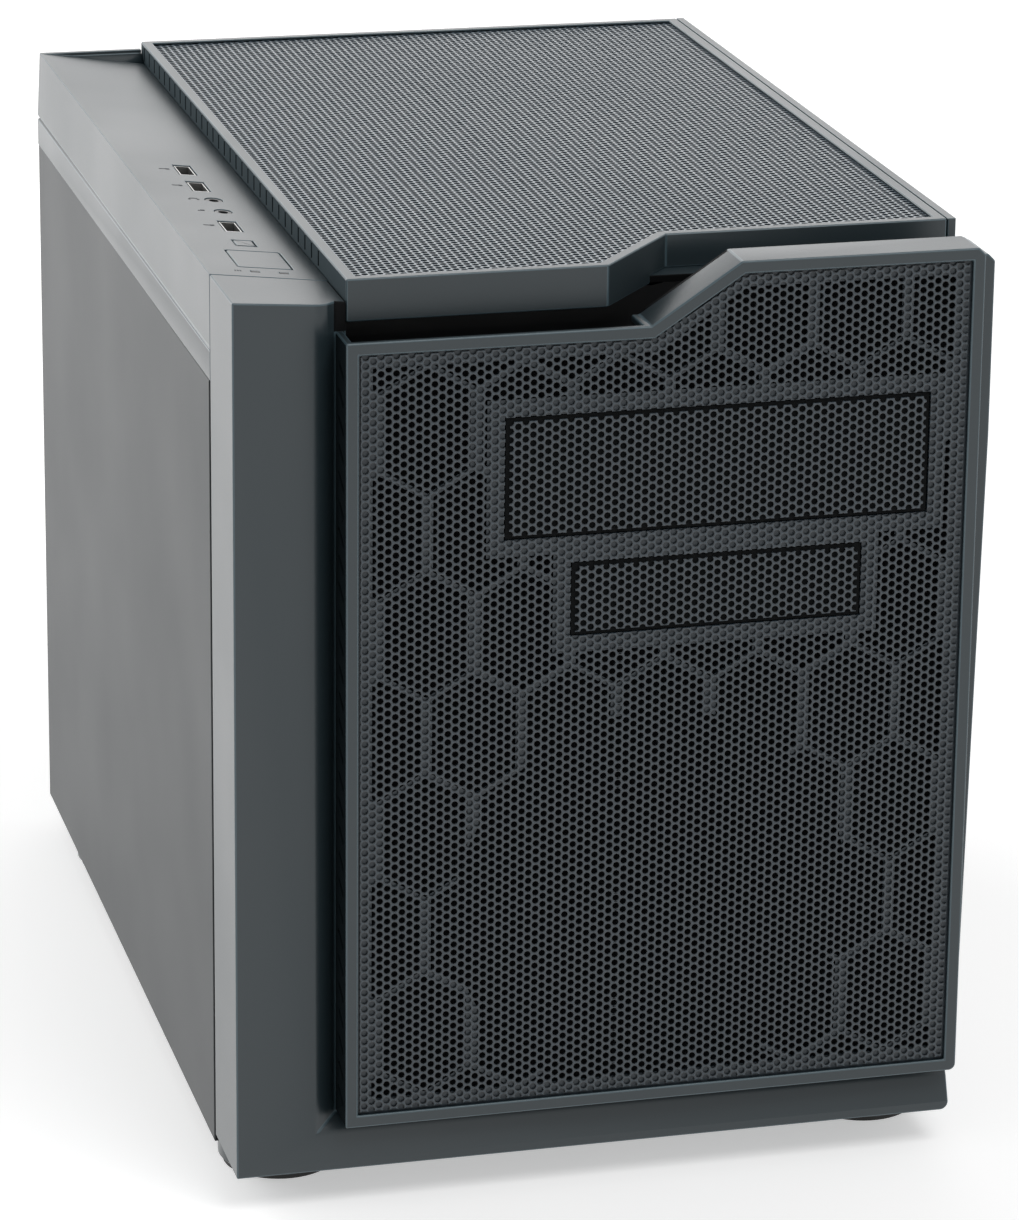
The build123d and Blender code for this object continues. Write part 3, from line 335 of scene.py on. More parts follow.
def make_finishes(settings, pattern):
    """Every finish of the case: one for each of the record's material slots, and a few special ones."""
    plastic = settings.plastic_colour
    steel = settings.steel_colour
    mesh = settings.mesh_colour
    dull = settings.plastic_roughness
    # Near black, for the faces painted with the shade of recesses
    deep_shade_black = (0.0015, 0.0017, 0.002)
    # A grained finish has its name, colour, roughness, and the size and depth of its grain in metres
    FINISHES.update(
        plastic_dark=grained_finish("moulded_plastic", plastic, dull, 0.0005, 0.00005),
        # A paler, glossier copy of the plastic for the rounded edges: a painted highlight
        plastic_edge=grained_finish("painted_edge_highlight", shade(plastic, 3.2), 0.32, 0.0005, 0.00003),
        # A dark, dull copy of the plastic for the bezel's left wall in its narrow recess: painted shade
        shaded=grained_finish("painted_wall_shade", shade(plastic, 0.3), 0.85, 0.0005, 0.00004, specular=0.05),
        # A dull copy of the plastic for the hood's left wall, so it renders darker: painted shade
        hood_side=grained_finish("hood_side", shade(plastic, 1.7), 0.75, 0.0005, 0.00004, specular=0.15),
        steel_grey=grained_finish("side_panel_paint", steel, 0.5, 0.0007, 0.00003, specular=0.25),
        steel_black=grained_finish("chassis_paint", (0.020, 0.022, 0.024), 0.45, 0.0006, 0.00004),
        mesh_black=grained_finish("mesh_paint", mesh, 0.42, 0.0005, 0.00003),
        mesh_front=perforated_finish("front_mesh_paint", mesh, 0.4, *pattern, True),
        # The front sheet's paint made 3.1 times lighter for the hood's top: painted light
        mesh_hood=perforated_finish("hood_mesh_painted_light", shade(mesh, 3.1), 0.3, *pattern, False),
        backing=grained_finish("backing_plastic", settings.backing_colour, 0.5, 0.0005, 0.00004),
        cover=foam_finish("cover_foam", (0.005, 0.0056, 0.006)),
        # Near-black plastic for faces in recesses, in slits and under the hood: painted shade
        recess=grained_finish("painted_deep_shade", deep_shade_black, 0.7, 0.0005, 0.00004, specular=0.1),
        plastic_fan=grained_finish("fan_plastic", (0.008, 0.008, 0.009), 0.45, 0.0008, 0.00006),
        rubber_black=grained_finish("foot_rubber", (0.010, 0.010, 0.010), 0.75, 0.0004, 0.00008),
        foam_black=foam_finish("dust_cloth", (0.006, 0.006, 0.007)),
        board_green=grained_finish("solder_mask", (0.012, 0.06, 0.035), 0.35, 0.0009, 0.00003),
        port_steel=plated_finish("port_plating", (0.34, 0.34, 0.33), 0.34),
        tongue_black=grained_finish("port_plastic", (0.010, 0.010, 0.011), 0.4, 0.0003, 0.00003),
        light_clear=light_finish("light_pipe", (0.012, 0.013, 0.015)),
        brass=plated_finish("turned_brass", (0.72, 0.50, 0.22), 0.3),
        screw_black=grained_finish("screw_zinc", (0.03, 0.03, 0.032), 0.35, 0.0005, 0.00003, metallic=0.6),
        mark=grained_finish("printed_mark", (0.10, 0.105, 0.11), 0.9, 0.0004, 0.00002, specular=0.1),
    )


# Pieces

# Faces that lie in a recess or in its shade and are painted with shade: their painted-shade finish, and the
# low and high corner of a box around them
SHADE_BOXES = {
    "front_frame": (
        ("recess", (-0.0912, -0.1838, 0.296), (0.1262, -0.155, 0.3277)),
        ("recess", (-0.0962, -0.1846, 0.3112), (-0.0905, -0.1700, 0.3262)),
    ),
    "top_cover": (("recess", (-0.0912, -0.1562, 0.280), (0.1300, -0.140, 0.3277)),),
    "front_bezel": (
        ("recess", (-0.0925, -0.1985, 0.300), (0.1230, -0.1835, 0.3085)),
        ("shaded", (-0.0956, -0.1990, 0.030), (-0.0945, -0.1835, 0.3100)),
    ),
    "hood_frame": (
        ("hood_side", (-0.0916, -0.1800, 0.300), (-0.0911, 0.1915, 0.3270)),
        ("recess", (-0.0911, -0.1800, 0.300), (-0.0880, 0.1915, 0.3270)),
    ),
}


def body_of(node):
    """The name of the body that a CAD node belongs to."""
    return frame["nodes"][node]["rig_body"]


def slot_of(node):
    """The record's material slot of a CAD node."""
    return SLOTS[node]


def finish_piece(piece, body, slot, replaced=(), finishes=None):
    """Gives a finished piece its finishes, or its slot's finish when none are given, and its body, and hides
    the CAD nodes it stands for.
    """
    places = [face.material_index for face in piece.data.polygons]
    piece.data.materials.clear()
    for finish in finishes or (slot,):
        piece.data.materials.append(FINISHES[finish])
    piece.data.polygons.foreach_set("material_index", places)
    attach(piece, body)
    if replaced:
        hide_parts(*replaced)


def new_object(name, data):
    """A mesh, lamp or camera as an object at the origin."""
    piece = bpy.data.objects.new(name, data)
    bpy.context.scene.collection.objects.link(piece)
    return piece


def plain_mesh(source, name):
    """The evaluated mesh of an object with modifiers, as a mesh of its own."""
    bpy.context.view_layer.update()
    graph = bpy.context.evaluated_depsgraph_get()
    mesh = bpy.data.meshes.new_from_object(source.evaluated_get(graph))
    mesh.name = name
    return mesh


def joined_shape(node):
    """One closed shape from the loose triangles of a CAD node."""
    shape = bmesh.new()
    shape.from_mesh(frame["nodes"][node].data)
    bmesh.ops.remove_doubles(shape, verts=shape.verts, dist=CAD_SLACK)
    bmesh.ops.dissolve_limit(shape, angle_limit=FLAT_ANGLE, verts=shape.verts, edges=shape.edges)
    return shape


def eased_piece(name, node, radius, finishes, reshape=None):
    """Stands a copy of a CAD node in its place, with every sharp edge rounded and given its second finish,
    which on the mouldings is a paler painted highlight.
    """
    shape = joined_shape(node)
    if reshape:
        reshape(shape)
    mesh = bpy.data.meshes.new(name)
    shape.to_mesh(mesh)
    shape.free()
    mesh.polygons.foreach_set("use_smooth", [True] * len(mesh.polygons))
    mesh.set_sharp_from_angle(angle=SHARP_ANGLE)
    for _ in finishes:
        mesh.materials.append(None)
    piece = new_object(name, mesh)
    bevel = piece.modifiers.new("eased_edges", "BEVEL")
    bevel.width = radius
    bevel.segments = EASED_STEPS
    bevel.limit_method = "ANGLE"
    bevel.angle_limit = SHARP_ANGLE
    bevel.use_clamp_overlap = False
    bevel.harden_normals = True
    # The rounded edges take the second finish, which on the mouldings is the painted edge highlight
    bevel.material = 1
    piece.data = plain_mesh(piece, name)
    piece.modifiers.clear()
    for vertex in piece.data.vertices:
        vertex.co = [min(max(value, low), high) for value, low, high in zip(vertex.co, *CAD_BOX)]
    finish_piece(piece, body_of(node), slot_of(node), (node,), finishes)
    # Faces in recesses and in shade get a painted-shade finish
    for finish, low, high in SHADE_BOXES.get(node, ()):
        paint_shade_box(piece, finish, low, high)


def paint_shade_box(piece, finish, low, high):
    """Gives the faces that lie within a box another finish, which paints shade on them."""
    place = len(piece.data.materials)
    piece.data.materials.append(FINISHES[finish])
    for face in piece.data.polygons:
        if all(low[i] < face.center[i] < high[i] for i in range(3)):
            face.material_index = place


def flush_front(shape):
    """Brings the cover's flared sides in line with the front moulding, its flange with the hood's front."""
    for vertex in shape.verts:
        x, y, z = vertex.co
        if y < COVER_FRONT_Y and abs(x) > FRAME_SIDE_X:
            vertex.co.x = math.copysign(FRAME_SIDE_X, x)
        elif y < FLANGE_FRONT_Y and x > FLANGE_SIDE_X and z > FLANGE_FOOT_Z:
            vertex.co.y = HOOD_FRONT_Y


def frame_knee(shape):
    """Rounds the front moulding's knee, and parts the moulding at the bezel's top."""
    everything = shape.verts[:] + shape.edges[:] + shape.faces[:]
    level = (0.0, 0.0, BEZEL_TOP_Z)
    bmesh.ops.bisect_plane(shape, geom=everything, plane_co=level, plane_no=(0.0, 0.0, 1.0))
    knee = [edge for edge in shape.edges if all(abs(end.co.y - KNEE_Y) < 1e-4 for end in edge.verts)]
    rounding = {"offset": KNEE_RADIUS, "segments": KNEE_STEPS, "profile": 0.5}
    bmesh.ops.bevel(shape, geom=knee, affect="EDGES", clamp_overlap=True, **rounding)


def strip_point(across, back):
    """The point of the control strip so many millimetres across and back from its front corner."""
    return STRIP_CORNER + STRIP_ALONG * across / MILLIMETRES + Vector((0.0, back / MILLIMETRES, 0.0))


def strokes_piece(name, strokes, finish):
    """Thin raised strokes on the control strip, each from one point to another with its width."""
    shape = bmesh.new()
    for u0, v0, u1, v1, width in strokes:
        start, end = strip_point(u0, v0), strip_point(u1, v1)
        side = (end - start).cross(STRIP_OUT).normalized() * width / (2 * MILLIMETRES)
        ring = [start + side, end + side, end - side, start - side]
        top = [shape.verts.new(point + STRIP_OUT * SIGN_RISE) for point in ring]
        foot = [shape.verts.new(point - STRIP_OUT * SIGN_DEPTH) for point in ring]
        shape.faces.new(top)
        shape.faces.new(reversed(foot))
        for i in range(len(ring)):
            shape.faces.new((top[i - 1], foot[i - 1], foot[i], top[i]))
    bmesh.ops.recalc_face_normals(shape, faces=shape.faces)
    mesh = bpy.data.meshes.new(name)
    shape.to_mesh(mesh)
    shape.free()
    finish_piece(new_object(name, mesh), body_of("top_cover"), "plastic_dark", (), (finish,))


# Perforated sheets


def rim_loops(node, upright):
    """Corner points round the outer face of a flat CAD node, loop by loop, and that face's level."""
    shape = joined_shape(node)
    if upright:
        bmesh.ops.transform(shape, matrix=Matrix.Rotation(math.radians(-90), 4, "X"), verts=shape.verts)
    level = max(vertex.co.z for vertex in shape.verts)
    lower = [vertex for vertex in shape.verts if vertex.co.z < level - FIELD_SLACK]
    bmesh.ops.delete(shape, geom=lower, context="VERTS")
    rim = {edge: None for edge in shape.edges if len(edge.link_faces) == 1}
    loops = []
    while rim:
        edge, _ = rim.popitem()
        vertex = edge.verts[0]
        loop = []
        while edge:
            loop.append(vertex.co.to_2d())
            vertex = edge.other_vert(vertex)
            edge = next((other for other in vertex.link_edges if other in rim), None)
            rim.pop(edge, None)
        loops.append(straightened(loop))
    shape.free()
    return sorted(loops, key=lambda loop: -abs(loop_area(loop))), level


def straightened(loop):
    """A loop without the points that lie on its straight runs."""
    kept = []
    for i, point in enumerate(loop):
        before, after = point - loop[i - 1], loop[(i + 1) % len(loop)] - point
        if abs(before.normalized().cross(after.normalized())) > STRAIGHT_TURN:
            kept.append(point)
    return kept


def loop_area(loop):
    """Area inside a loop, positive when it runs anticlockwise."""
    return sum(a.cross(b) for a, b in zip(loop, loop[1:] + loop[:1])) / 2


def trimmed(loop, inset):
    """A loop moved inwards, with its corners kept sharp."""
    turn = 1 if loop_area(loop) > 0 else -1
    moved = []
    for i, point in enumerate(loop):
        first = (point - loop[i - 1]).normalized()
        second = (loop[(i + 1) % len(loop)] - point).normalized()
        normals = [Vector((-way.y, way.x)) * turn for way in (first, second)]
        middle = (normals[0] + normals[1]).normalized()
        moved.append(point + middle * inset / middle.dot(normals[0]))
    return moved


def inside(point, loops):
    """True where a point lies in the sheet: in its outline and in none of its openings."""
    crossings = 0
    for loop in loops:
        for a, b in zip(loop, loop[1:] + loop[:1]):
            if (a.y > point.y) != (b.y > point.y):
                crossings += point.x < a.x + (point.y - a.y) / (b.y - a.y) * (b.x - a.x)
    return crossings % 2 == 1


def perforation_tree():
    """Fills the box of the outline that it is given with a staggered field of round holes."""
    tree = bpy.data.node_groups.new("perforated_field", "GeometryNodeTree")
    face = tree.interface
    face.new_socket("Outline", in_out="INPUT", socket_type="NodeSocketGeometry")
    for name, value in {"Hole spacing": 0.003, "Hole radius": 0.0012}.items():
        socket = face.new_socket(name, in_out="INPUT", socket_type="NodeSocketFloat")
        socket.default_value = value
    socket = face.new_socket("Hole sides", in_out="INPUT", socket_type="NodeSocketInt")
    socket.default_value = 8
    face.new_socket("Finish", in_out="INPUT", socket_type="NodeSocketMaterial")
    face.new_socket("Sheet", in_out="OUTPUT", socket_type="NodeSocketGeometry")
    graph = Graph(tree)
    outline, spacing, radius, sides, finish, _ = graph.node("NodeGroupInput", {})
    field = staggered_points(graph, outline, spacing)
    circle = {"mode": "RADIUS"}
    ring = graph.node("GeometryNodeCurvePrimitiveCircle", circle, Resolution=sides, Radius=radius)[0]
    corner = spacing / math.sqrt(3)
    cell = graph.node("GeometryNodeCurvePrimitiveCircle", circle, Resolution=6, Radius=corner)[0]
    edges = tree.nodes.new("GeometryNodeJoinGeometry")
    for part in (ring, cell):
        tree.links.new(part.socket, edges.inputs[0])
    tile = graph.node("GeometryNodeFillCurve", {}, Signal(graph, edges.outputs[0]))[0]
    tiles = graph.node("GeometryNodeInstanceOnPoints", {}, Points=field, Instance=tile)[0]
    tiles = graph.node("GeometryNodeRealizeInstances", {}, tiles)[0]
    tiles = graph.node("GeometryNodeSetMaterial", {}, Geometry=tiles, Material=finish)[0]
    graph.node("NodeGroupOutput", {}, tiles)
    return tree


def staggered_points(graph, outline, spacing):
    """Points in staggered columns over an outline's box and a little beyond."""
    lowest, highest = graph.node("GeometryNodeBoundBox", {}, outline)[1:3]
    left, low, _ = graph.node("ShaderNodeSeparateXYZ", {}, lowest)
    right, high, _ = graph.node("ShaderNodeSeparateXYZ", {}, highest)
    spare = 5
    column_pitch = spacing * (math.sqrt(3) / 2)
    columns = ((right - left) / column_pitch).floor() + spare
    rows = ((high - low) / spacing).floor() + spare
    index = graph.node("GeometryNodeInputIndex", {})[0]
    step = ((index + 0.5) / rows).floor()
    row = index - step * rows + (low / spacing).floor() - 2
    column = step + (left / column_pitch).floor() - 1
    across = column * column_pitch
    up = (row + (column % 2) * 0.5) * spacing
    spot = graph.node("ShaderNodeCombineXYZ", {}, across, up, 0.0)[0]
    return graph.node("GeometryNodePoints", {}, columns * rows, spot)[0]


def set_input(modifier, name, value):
    """Sets a Geometry Nodes modifier's input by the identifier of its socket."""
    for item in modifier.node_group.interface.items_tree:
        if item.item_type == "SOCKET" and item.in_out == "INPUT" and item.name == name:
            modifier[item.identifier] = value
            return
    raise RuntimeError(f"the tree has no input named {name}")


def perforated_field(name, loops, settings, tree, finish):
    """The flat field of holes over a sheet's box, cut off along the sheet's edges."""
    outline = bpy.data.meshes.new(name)
    runs = [(i, i + 1) for i in range(len(loops[0]) - 1)]
    outline.from_pydata([(point.x, point.y, 0.0) for point in loops[0]], runs, [])
    piece = new_object(name, outline)
    punched = piece.modifiers.new("perforation", "NODES")
    punched.node_group = tree
    set_input(punched, "Hole spacing", settings.hole_spacing)
    set_input(punched, "Hole radius", settings.hole_diameter / 2)
    set_input(punched, "Hole sides", settings.hole_sides)
    set_input(punched, "Finish", finish)
    field = bmesh.new()
    field.from_mesh(plain_mesh(piece, name))
    bpy.data.objects.remove(piece)
    bmesh.ops.remove_doubles(field, verts=field.verts, dist=FIELD_SLACK)
    for loop in loops:
        for a, b in zip(loop, loop[1:] + loop[:1]):
            cut_along(field, a, b, settings.hole_spacing)
    outer = [face for face in field.faces if not inside(face.calc_center_median().to_2d(), loops)]
    bmesh.ops.delete(field, geom=outer, context="FACES")
    return field


def cut_along(field, a, b, reach):
    """Divides the faces of a flat field that lie near a straight run from a to b."""
    low = (min(a.x, b.x) - reach, min(a.y, b.y) - reach)
    high = (max(a.x, b.x) + reach, max(a.y, b.y) + reach)
    way = (b - a).normalized()
    near = {}
    for vertex in field.verts:
        x, y, _ = vertex.co
        off = abs((x - a.x) * way.y - (y - a.y) * way.x)
        if low[0] < x < high[0] and low[1] < y < high[1] and off < reach:
            near.update({face: None for face in vertex.link_faces})
    edges = {edge: None for face in near for edge in face.edges}
    verts = {vertex: None for face in near for vertex in face.verts}
    bmesh.ops.bisect_plane(
        field, geom=list(verts) + list(edges) + list(near), dist=1e-7, plane_co=(a.x, a.y, 0.0),
        plane_no=(-way.y, way.x, 0.0),
    )


def perforated_pieces(name, node, upright, inset, settings, tree, halves=False):
    """The perforated sheet that stands for a flat CAD node, in one piece or as a left and a right half.

    The hood's sheet stands for a coarse grid, so of its loops only the outer one counts.
    """
    loops, level = rim_loops(node, upright)
    loops = [trimmed(loops[0], inset)] + (loops[1:] if upright else [])
    finish = "mesh_front" if upright else "mesh_hood"
    field = perforated_field(name, loops, settings, tree, FINISHES[finish])
    turn = Matrix.Rotation(math.radians(90), 4, "X") if upright else Matrix.Identity(4)
    bmesh.ops.transform(field, matrix=turn @ Matrix.Translation((0.0, 0.0, level)), verts=field.verts)
    for side, ending in ((-1, "_left"), (1, "_right")) if halves else ((0, ""),):
        part = field.copy()
        away = [face for face in part.faces if side and face.calc_center_median().x * side < 0]
        bmesh.ops.delete(part, geom=away, context="FACES")
        mesh = bpy.data.meshes.new(name + ending)
        part.to_mesh(mesh)
        part.free()
        piece = new_object(name + ending, mesh)
        depth = piece.modifiers.new("sheet_thickness", "SOLIDIFY")
        depth.thickness = settings.sheet_thickness
        depth.offset = -1.0
        depth.use_rim_only = True
        piece.data = plain_mesh(piece, piece.name)
        piece.modifiers.clear()
        finish_piece(piece, body_of(node), "mesh_black", (node,), (finish,))
    field.free()


# Settings that a user may change


class CUBECASE_PG_mesh(bpy.types.PropertyGroup):
    """Sizes of the perforated sheets."""

    hole_spacing: bpy.props.FloatProperty(
        name="Hole spacing", description="Distance between neighbouring holes", default=0.003, unit="LENGTH"
    )
    hole_diameter: bpy.props.FloatProperty(
        name="Hole diameter", description="Diameter of each punched hole", default=0.00235, unit="LENGTH"
    )
    sheet_thickness: bpy.props.FloatProperty(
        name="Sheet thickness", description="Thickness of the sheets", default=0.0008, unit="LENGTH"
    )
    rim_gap: bpy.props.FloatProperty(
        name="Rim gap", description="Gap between the front sheet and its rim", default=0.0024, unit="LENGTH"
    )
    cover_gap: bpy.props.FloatProperty(
        name="Cover gap", description="Inset of the sheets on the bay covers", default=0.0012, unit="LENGTH"
    )
    hole_sides: bpy.props.IntProperty(
        name="Hole sides", description="Straight sides of each hole", default=8, min=5, max=12
    )


class CUBECASE_PG_finish(bpy.types.PropertyGroup):
    """Colours and gloss of the finishes."""

    plastic_colour: bpy.props.FloatVectorProperty(
        name="Plastic colour", description="Colour of the mouldings", subtype="COLOR",
        default=(0.016, 0.026, 0.031),
    )
    plastic_roughness: bpy.props.FloatProperty(
        name="Plastic roughness", description="Dullness of the mouldings", default=0.37, subtype="FACTOR"
    )
    steel_colour: bpy.props.FloatVectorProperty(
        name="Side panel colour", description="Paint of the side panels", subtype="COLOR",
        default=(0.020, 0.024, 0.026),
    )
    mesh_colour: bpy.props.FloatVectorProperty(
        name="Mesh colour", description="Paint of the perforated sheets", subtype="COLOR",
        default=(0.030, 0.044, 0.056),
    )
    backing_colour: bpy.props.FloatVectorProperty(
        name="Honeycomb colour", description="Plastic of the honeycomb", subtype="COLOR",
        default=(0.010, 0.017, 0.023),
    )
    edge_radius: bpy.props.FloatProperty(
        name="Edge radius", description="Rounding of the moulded edges", default=0.0006, unit="LENGTH"
    )


class CUBECASE_PG_stage(bpy.types.PropertyGroup):
    """Floor, light and camera."""

    floor_size: bpy.props.FloatProperty(
        name="Floor size", description="Width of the pale floor", default=9.0, unit="LENGTH"
    )
    surroundings: bpy.props.FloatProperty(
        name="Surrounding light", description="Level of the even light from all round", default=0.42
    )
    left_power: bpy.props.FloatProperty(
        name="Left power", description="Lamp behind the left side", default=34.0, unit="POWER"
    )
    back_power: bpy.props.FloatProperty(
        name="Back power", description="Lamp over the back", default=12.0, unit="POWER"
    )
    front_power: bpy.props.FloatProperty(
        name="Front power", description="Lamp in front", default=22.0, unit="POWER"
    )


# Operators


class CUBECASE_OT_finishes(bpy.types.Operator):
    """Make every finish and give the CAD nodes theirs"""

    bl_idname = "cubecase.finishes"
    bl_label = "Finishes"

    def execute(self, context):
        sheets = context.scene.cubecase_mesh
        make_finishes(context.scene.cubecase_finish, (sheets.hole_spacing, sheets.hole_diameter / 2))
        special = {
            "honeycomb_backing": "backing",
            "wide_bay_cover": "cover",
            "small_bay_cover": "cover",
            # The roof under the hood is painted with shade
            "roof_panel": "recess",
        }
        for name, node in frame["nodes"].items():
            finish = FINISHES[special.get(name) or slot_of(name)]
            for material_slot in node.material_slots:
                material_slot.material = finish
        return {"FINISHED"}


class CUBECASE_OT_sheets(bpy.types.Operator):
    """Punch the perforated sheets of the front, the bay covers and the hood"""

    bl_idname = "cubecase.sheets"
    bl_label = "Perforated sheets"

    def execute(self, context):
        settings = context.scene.cubecase_mesh
        tree = perforation_tree()
        rim_gap, cover_gap = settings.rim_gap, settings.cover_gap
        perforated_pieces("front_perforation", "front_mesh", True, rim_gap, settings, tree, True)
        perforated_pieces("wide_bay_perforation", "wide_bay_mesh", True, cover_gap, settings, tree)
        perforated_pieces("small_bay_perforation", "small_bay_mesh", True, cover_gap, settings, tree)
        perforated_pieces("hood_perforation", "hood_mesh", False, 0.0, settings, tree, True)
        return {"FINISHED"}


# Mouldings with eased edges: the CAD node, its share of the edge radius, and how it is reshaped first
MOULDINGS = (
    ("front_bezel", 1.0, None),
    ("front_frame", 1.0, frame_knee),
    ("top_cover", 0.5, flush_front),
    ("hood_frame", 1.0, None),
    ("power_button", 1.0, None),
    ("reset_button", 1.0, None),
)


class CUBECASE_OT_mouldings(bpy.types.Operator):
    """Ease the edges of the mouldings"""

    bl_idname = "cubecase.mouldings"
    bl_label = "Mouldings"

    def execute(self, context):
        radius = context.scene.cubecase_finish.edge_radius
        for node, share, reshape in MOULDINGS:
            # The second finish paints a highlight on the rounded edges
            finishes = ("plastic_dark", "plastic_edge")
            eased_piece(f"{node}_moulding", node, radius * share, finishes, reshape)
        for node in ("side_panel_left", "side_panel_right"):
            eased_piece(f"{node}_sheet", node, radius, ("steel_grey", "steel_grey"))
        return {"FINISHED"}


# Generic signs of the control strip, as strokes round the sign's middle: two ends and a width, in millimetres
PLUG_SIGN = ((-2.0, 0.0, 0.4, 0.0, 0.35), (0.4, 0.0, 1.8, 0.0, 1.2))
SOUND_SIGN = (
    (-1.6, -0.6, -1.2, 0.7, 0.35), (-1.2, 0.7, 1.2, 0.7, 0.35), (1.2, 0.7, 1.6, -0.6, 0.35),
    (-1.6, -0.4, -1.6, -1.1, 0.8), (1.6, -0.4, 1.6, -1.1, 0.8),
)
SPEECH_SIGN = ((-0.5, 0.2, 0.9, 0.2, 1.0), (-1.5, -0.5, -0.5, 0.0, 0.35))
DISK_SIGN = ((-1.3, -0.7, -1.3, 0.7, 0.35), (-0.4, -0.7, -0.4, 0.7, 0.35), (0.5, -0.7, 0.5, 0.7, 0.35))

# Each sign with its place across and back from the strip's front corner
SIGNS = (
    (PLUG_SIGN, 13.8, 198.0),
    (PLUG_SIGN, 13.8, 172.9),
    (SOUND_SIGN, 15.8, 153.1),
    (SPEECH_SIGN, 15.6, 136.0),
    (PLUG_SIGN, 13.8, 114.3),
    (DISK_SIGN, 11.6, 51.1),
)


class CUBECASE_OT_signs(bpy.types.Operator):
    """Print the small generic signs beside the ports and lights"""

    bl_idname = "cubecase.signs"
    bl_label = "Signs"

    def execute(self, context):
        strokes = []
        for sign, u, v in SIGNS:
            strokes += [(u + u0, v + v0, u + u1, v + v1, width) for u0, v0, u1, v1, width in sign]
        strokes_piece("port_signs", strokes, "mark")
        return {"FINISHED"}


class CUBECASE_OT_stage(bpy.types.Operator):
    """Lay the floor, set the light and place the camera"""

    bl_idname = "cubecase.stage"
    bl_label = "Stage"

    def execute(self, context):
        settings = context.scene.cubecase_stage
        make_floor(settings)
        make_world(settings)
        middle = Vector((0.0, 0.0, 0.16))
        make_lamp("left_lamp", (-1.6, 1.6, 1.0), middle, 1.8, settings.left_power)
        make_lamp("back_lamp", (0.6, 2.4, 1.3), middle, 1.8, settings.back_power)
        make_lamp("front_lamp", (0.5, -1.5, 2.3), middle, 1.2, settings.front_power)
        make_camera(context)
        return {"FINISHED"}


def make_floor(settings):
    """Pale floor that the camera sees as white, with the case's shadow on it."""
    half = settings.floor_size / 2
    mesh = bpy.data.meshes.new("floor")
    corners = [(-half, -half, 0.0), (half, -half, 0.0), (half, half, 0.0), (-half, half, 0.0)]
    mesh.from_pydata(corners, [], [(0, 1, 2, 3)])
    floor = new_object("floor", mesh)
    material = bpy.data.materials.new("pale_floor")
    material.use_nodes = True
    material.node_tree.nodes.clear()
    graph = Graph(material.node_tree)
    cloud = graph.noise(graph.place(), 3.0)
    dark, light = (shade((tone,) * 3, 1) for tone in FLOOR_TONES)
    colour = graph.blend(cloud, dark, light)
    matt = graph.node("ShaderNodeBsdfDiffuse", {}, Color=colour)[0]
    camera_ray, _, _, glossy_ray = graph.node("ShaderNodeLightPath", {})[:4]
    seen = camera_ray * CAMERA_GLOW + glossy_ray * GLOSS_GLOW
    glow = graph.node("ShaderNodeEmission", {}, Color=(1, 1, 1, 1), Strength=seen)[0]
    both = graph.node("ShaderNodeAddShader", {}, matt, glow)[0]
    graph.node("ShaderNodeOutputMaterial", {}, both)
    floor.data.materials.append(material)


def make_world(settings):
    """Even light from all round, which the camera and the gloss see white."""
    world = bpy.data.worlds.new("white_room")
    bpy.context.scene.world = world
    world.use_nodes = True
    world.node_tree.nodes.clear()
    graph = Graph(world.node_tree)
    camera_ray, _, _, glossy_ray, _, _, through_ray = graph.node("ShaderNodeLightPath", {})[:7]
    white = (camera_ray + glossy_ray + through_ray).held()
    strength = settings.surroundings + white * (1.0 - settings.surroundings)
    glow = graph.node("ShaderNodeBackground", {}, Color=(1, 1, 1, 1), Strength=strength)[0]
    graph.node("ShaderNodeOutputWorld", {}, glow)


def make_lamp(name, spot, target, size, power):
    """A square soft lamp that looks at a point."""
    lamp = bpy.data.lights.new(name, "AREA")
    lamp.shape = "SQUARE"
    lamp.size = size
    lamp.energy = power
    stand = new_object(name, lamp)
    stand.location = spot
    stand.rotation_mode = "QUATERNION"
    stand.rotation_quaternion = (target - Vector(spot)).to_track_quat("-Z", "Y")


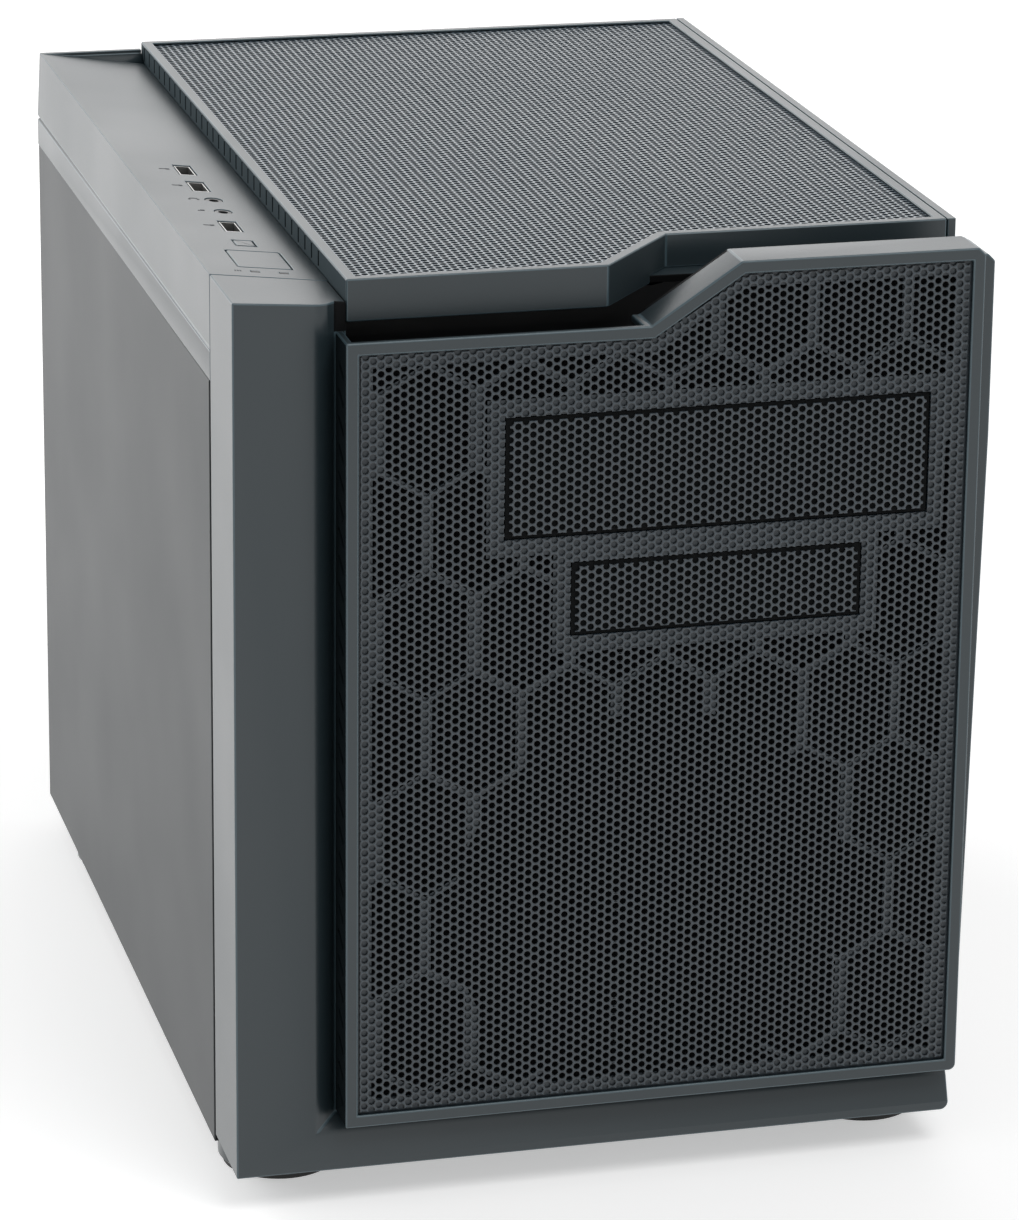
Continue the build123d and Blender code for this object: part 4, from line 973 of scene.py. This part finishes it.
def make_camera(context):
    """The camera at the photograph's place, with its small shift."""
    forward = Vector((
        math.sin(VIEW_AZIMUTH) * math.cos(VIEW_ELEVATION),
        math.cos(VIEW_AZIMUTH) * math.cos(VIEW_ELEVATION),
        -math.sin(VIEW_ELEVATION),
    ))
    level = Vector((math.cos(VIEW_AZIMUTH), -math.sin(VIEW_AZIMUTH), 0.0))
    above = level.cross(forward)
    right = level * math.cos(VIEW_ROLL) + above * math.sin(VIEW_ROLL)
    up = above * math.cos(VIEW_ROLL) - level * math.sin(VIEW_ROLL)
    camera = bpy.data.cameras.new("camera")
    camera.sensor_fit = "HORIZONTAL"
    camera.sensor_width = 36.0
    camera.lens = VIEW_LENS
    camera.shift_x, camera.shift_y = VIEW_SHIFT
    camera.clip_start = 0.05
    camera.clip_end = 60.0
    stand = new_object("camera", camera)
    turn = Matrix((right, up, -forward)).transposed()
    stand.matrix_world = Matrix.Translation(VIEW_TARGET - forward * VIEW_DISTANCE) @ turn.to_4x4()
    context.scene.camera = stand


class CUBECASE_PT_panel(bpy.types.Panel):
    """Lists the steps that build the case"""

    bl_idname = "CUBECASE_PT_panel"
    bl_label = "Cube case"
    bl_space_type = "VIEW_3D"
    bl_region_type = "UI"
    bl_category = "Cube case"

    def draw(self, context):
        for step in STEPS:
            self.layout.operator(step.bl_idname)
        for group_name in GROUPS:
            group = getattr(context.scene, group_name)
            for name in group.bl_rna.properties.keys():
                if name not in ("rna_type", "name"):
                    self.layout.prop(group, name)


STEPS = (
    CUBECASE_OT_stage,
    CUBECASE_OT_finishes,
    CUBECASE_OT_sheets,
    CUBECASE_OT_mouldings,
    CUBECASE_OT_signs,
)
GROUPS = {
    "cubecase_mesh": CUBECASE_PG_mesh,
    "cubecase_finish": CUBECASE_PG_finish,
    "cubecase_stage": CUBECASE_PG_stage,
}


def register():
    """Adds the classes and the scene's settings."""
    for group in GROUPS.values():
        bpy.utils.register_class(group)
    for name, group in GROUPS.items():
        setattr(bpy.types.Scene, name, bpy.props.PointerProperty(type=group))
    for step in STEPS + (CUBECASE_PT_panel,):
        bpy.utils.register_class(step)


def unregister():
    """Takes the classes and the settings away again."""
    for step in reversed(STEPS + (CUBECASE_PT_panel,)):
        bpy.utils.unregister_class(step)
    for name, group in reversed(list(GROUPS.items())):
        delattr(bpy.types.Scene, name)
        bpy.utils.unregister_class(group)


def main():
    """Builds everything in order."""
    register()
    bpy.context.scene.view_settings.view_transform = "Standard"
    bpy.ops.cubecase.stage()
    bpy.ops.cubecase.finishes()
    bpy.ops.cubecase.sheets()
    bpy.ops.cubecase.mouldings()
    bpy.ops.cubecase.signs()


if __name__ == "__main__":
    main()
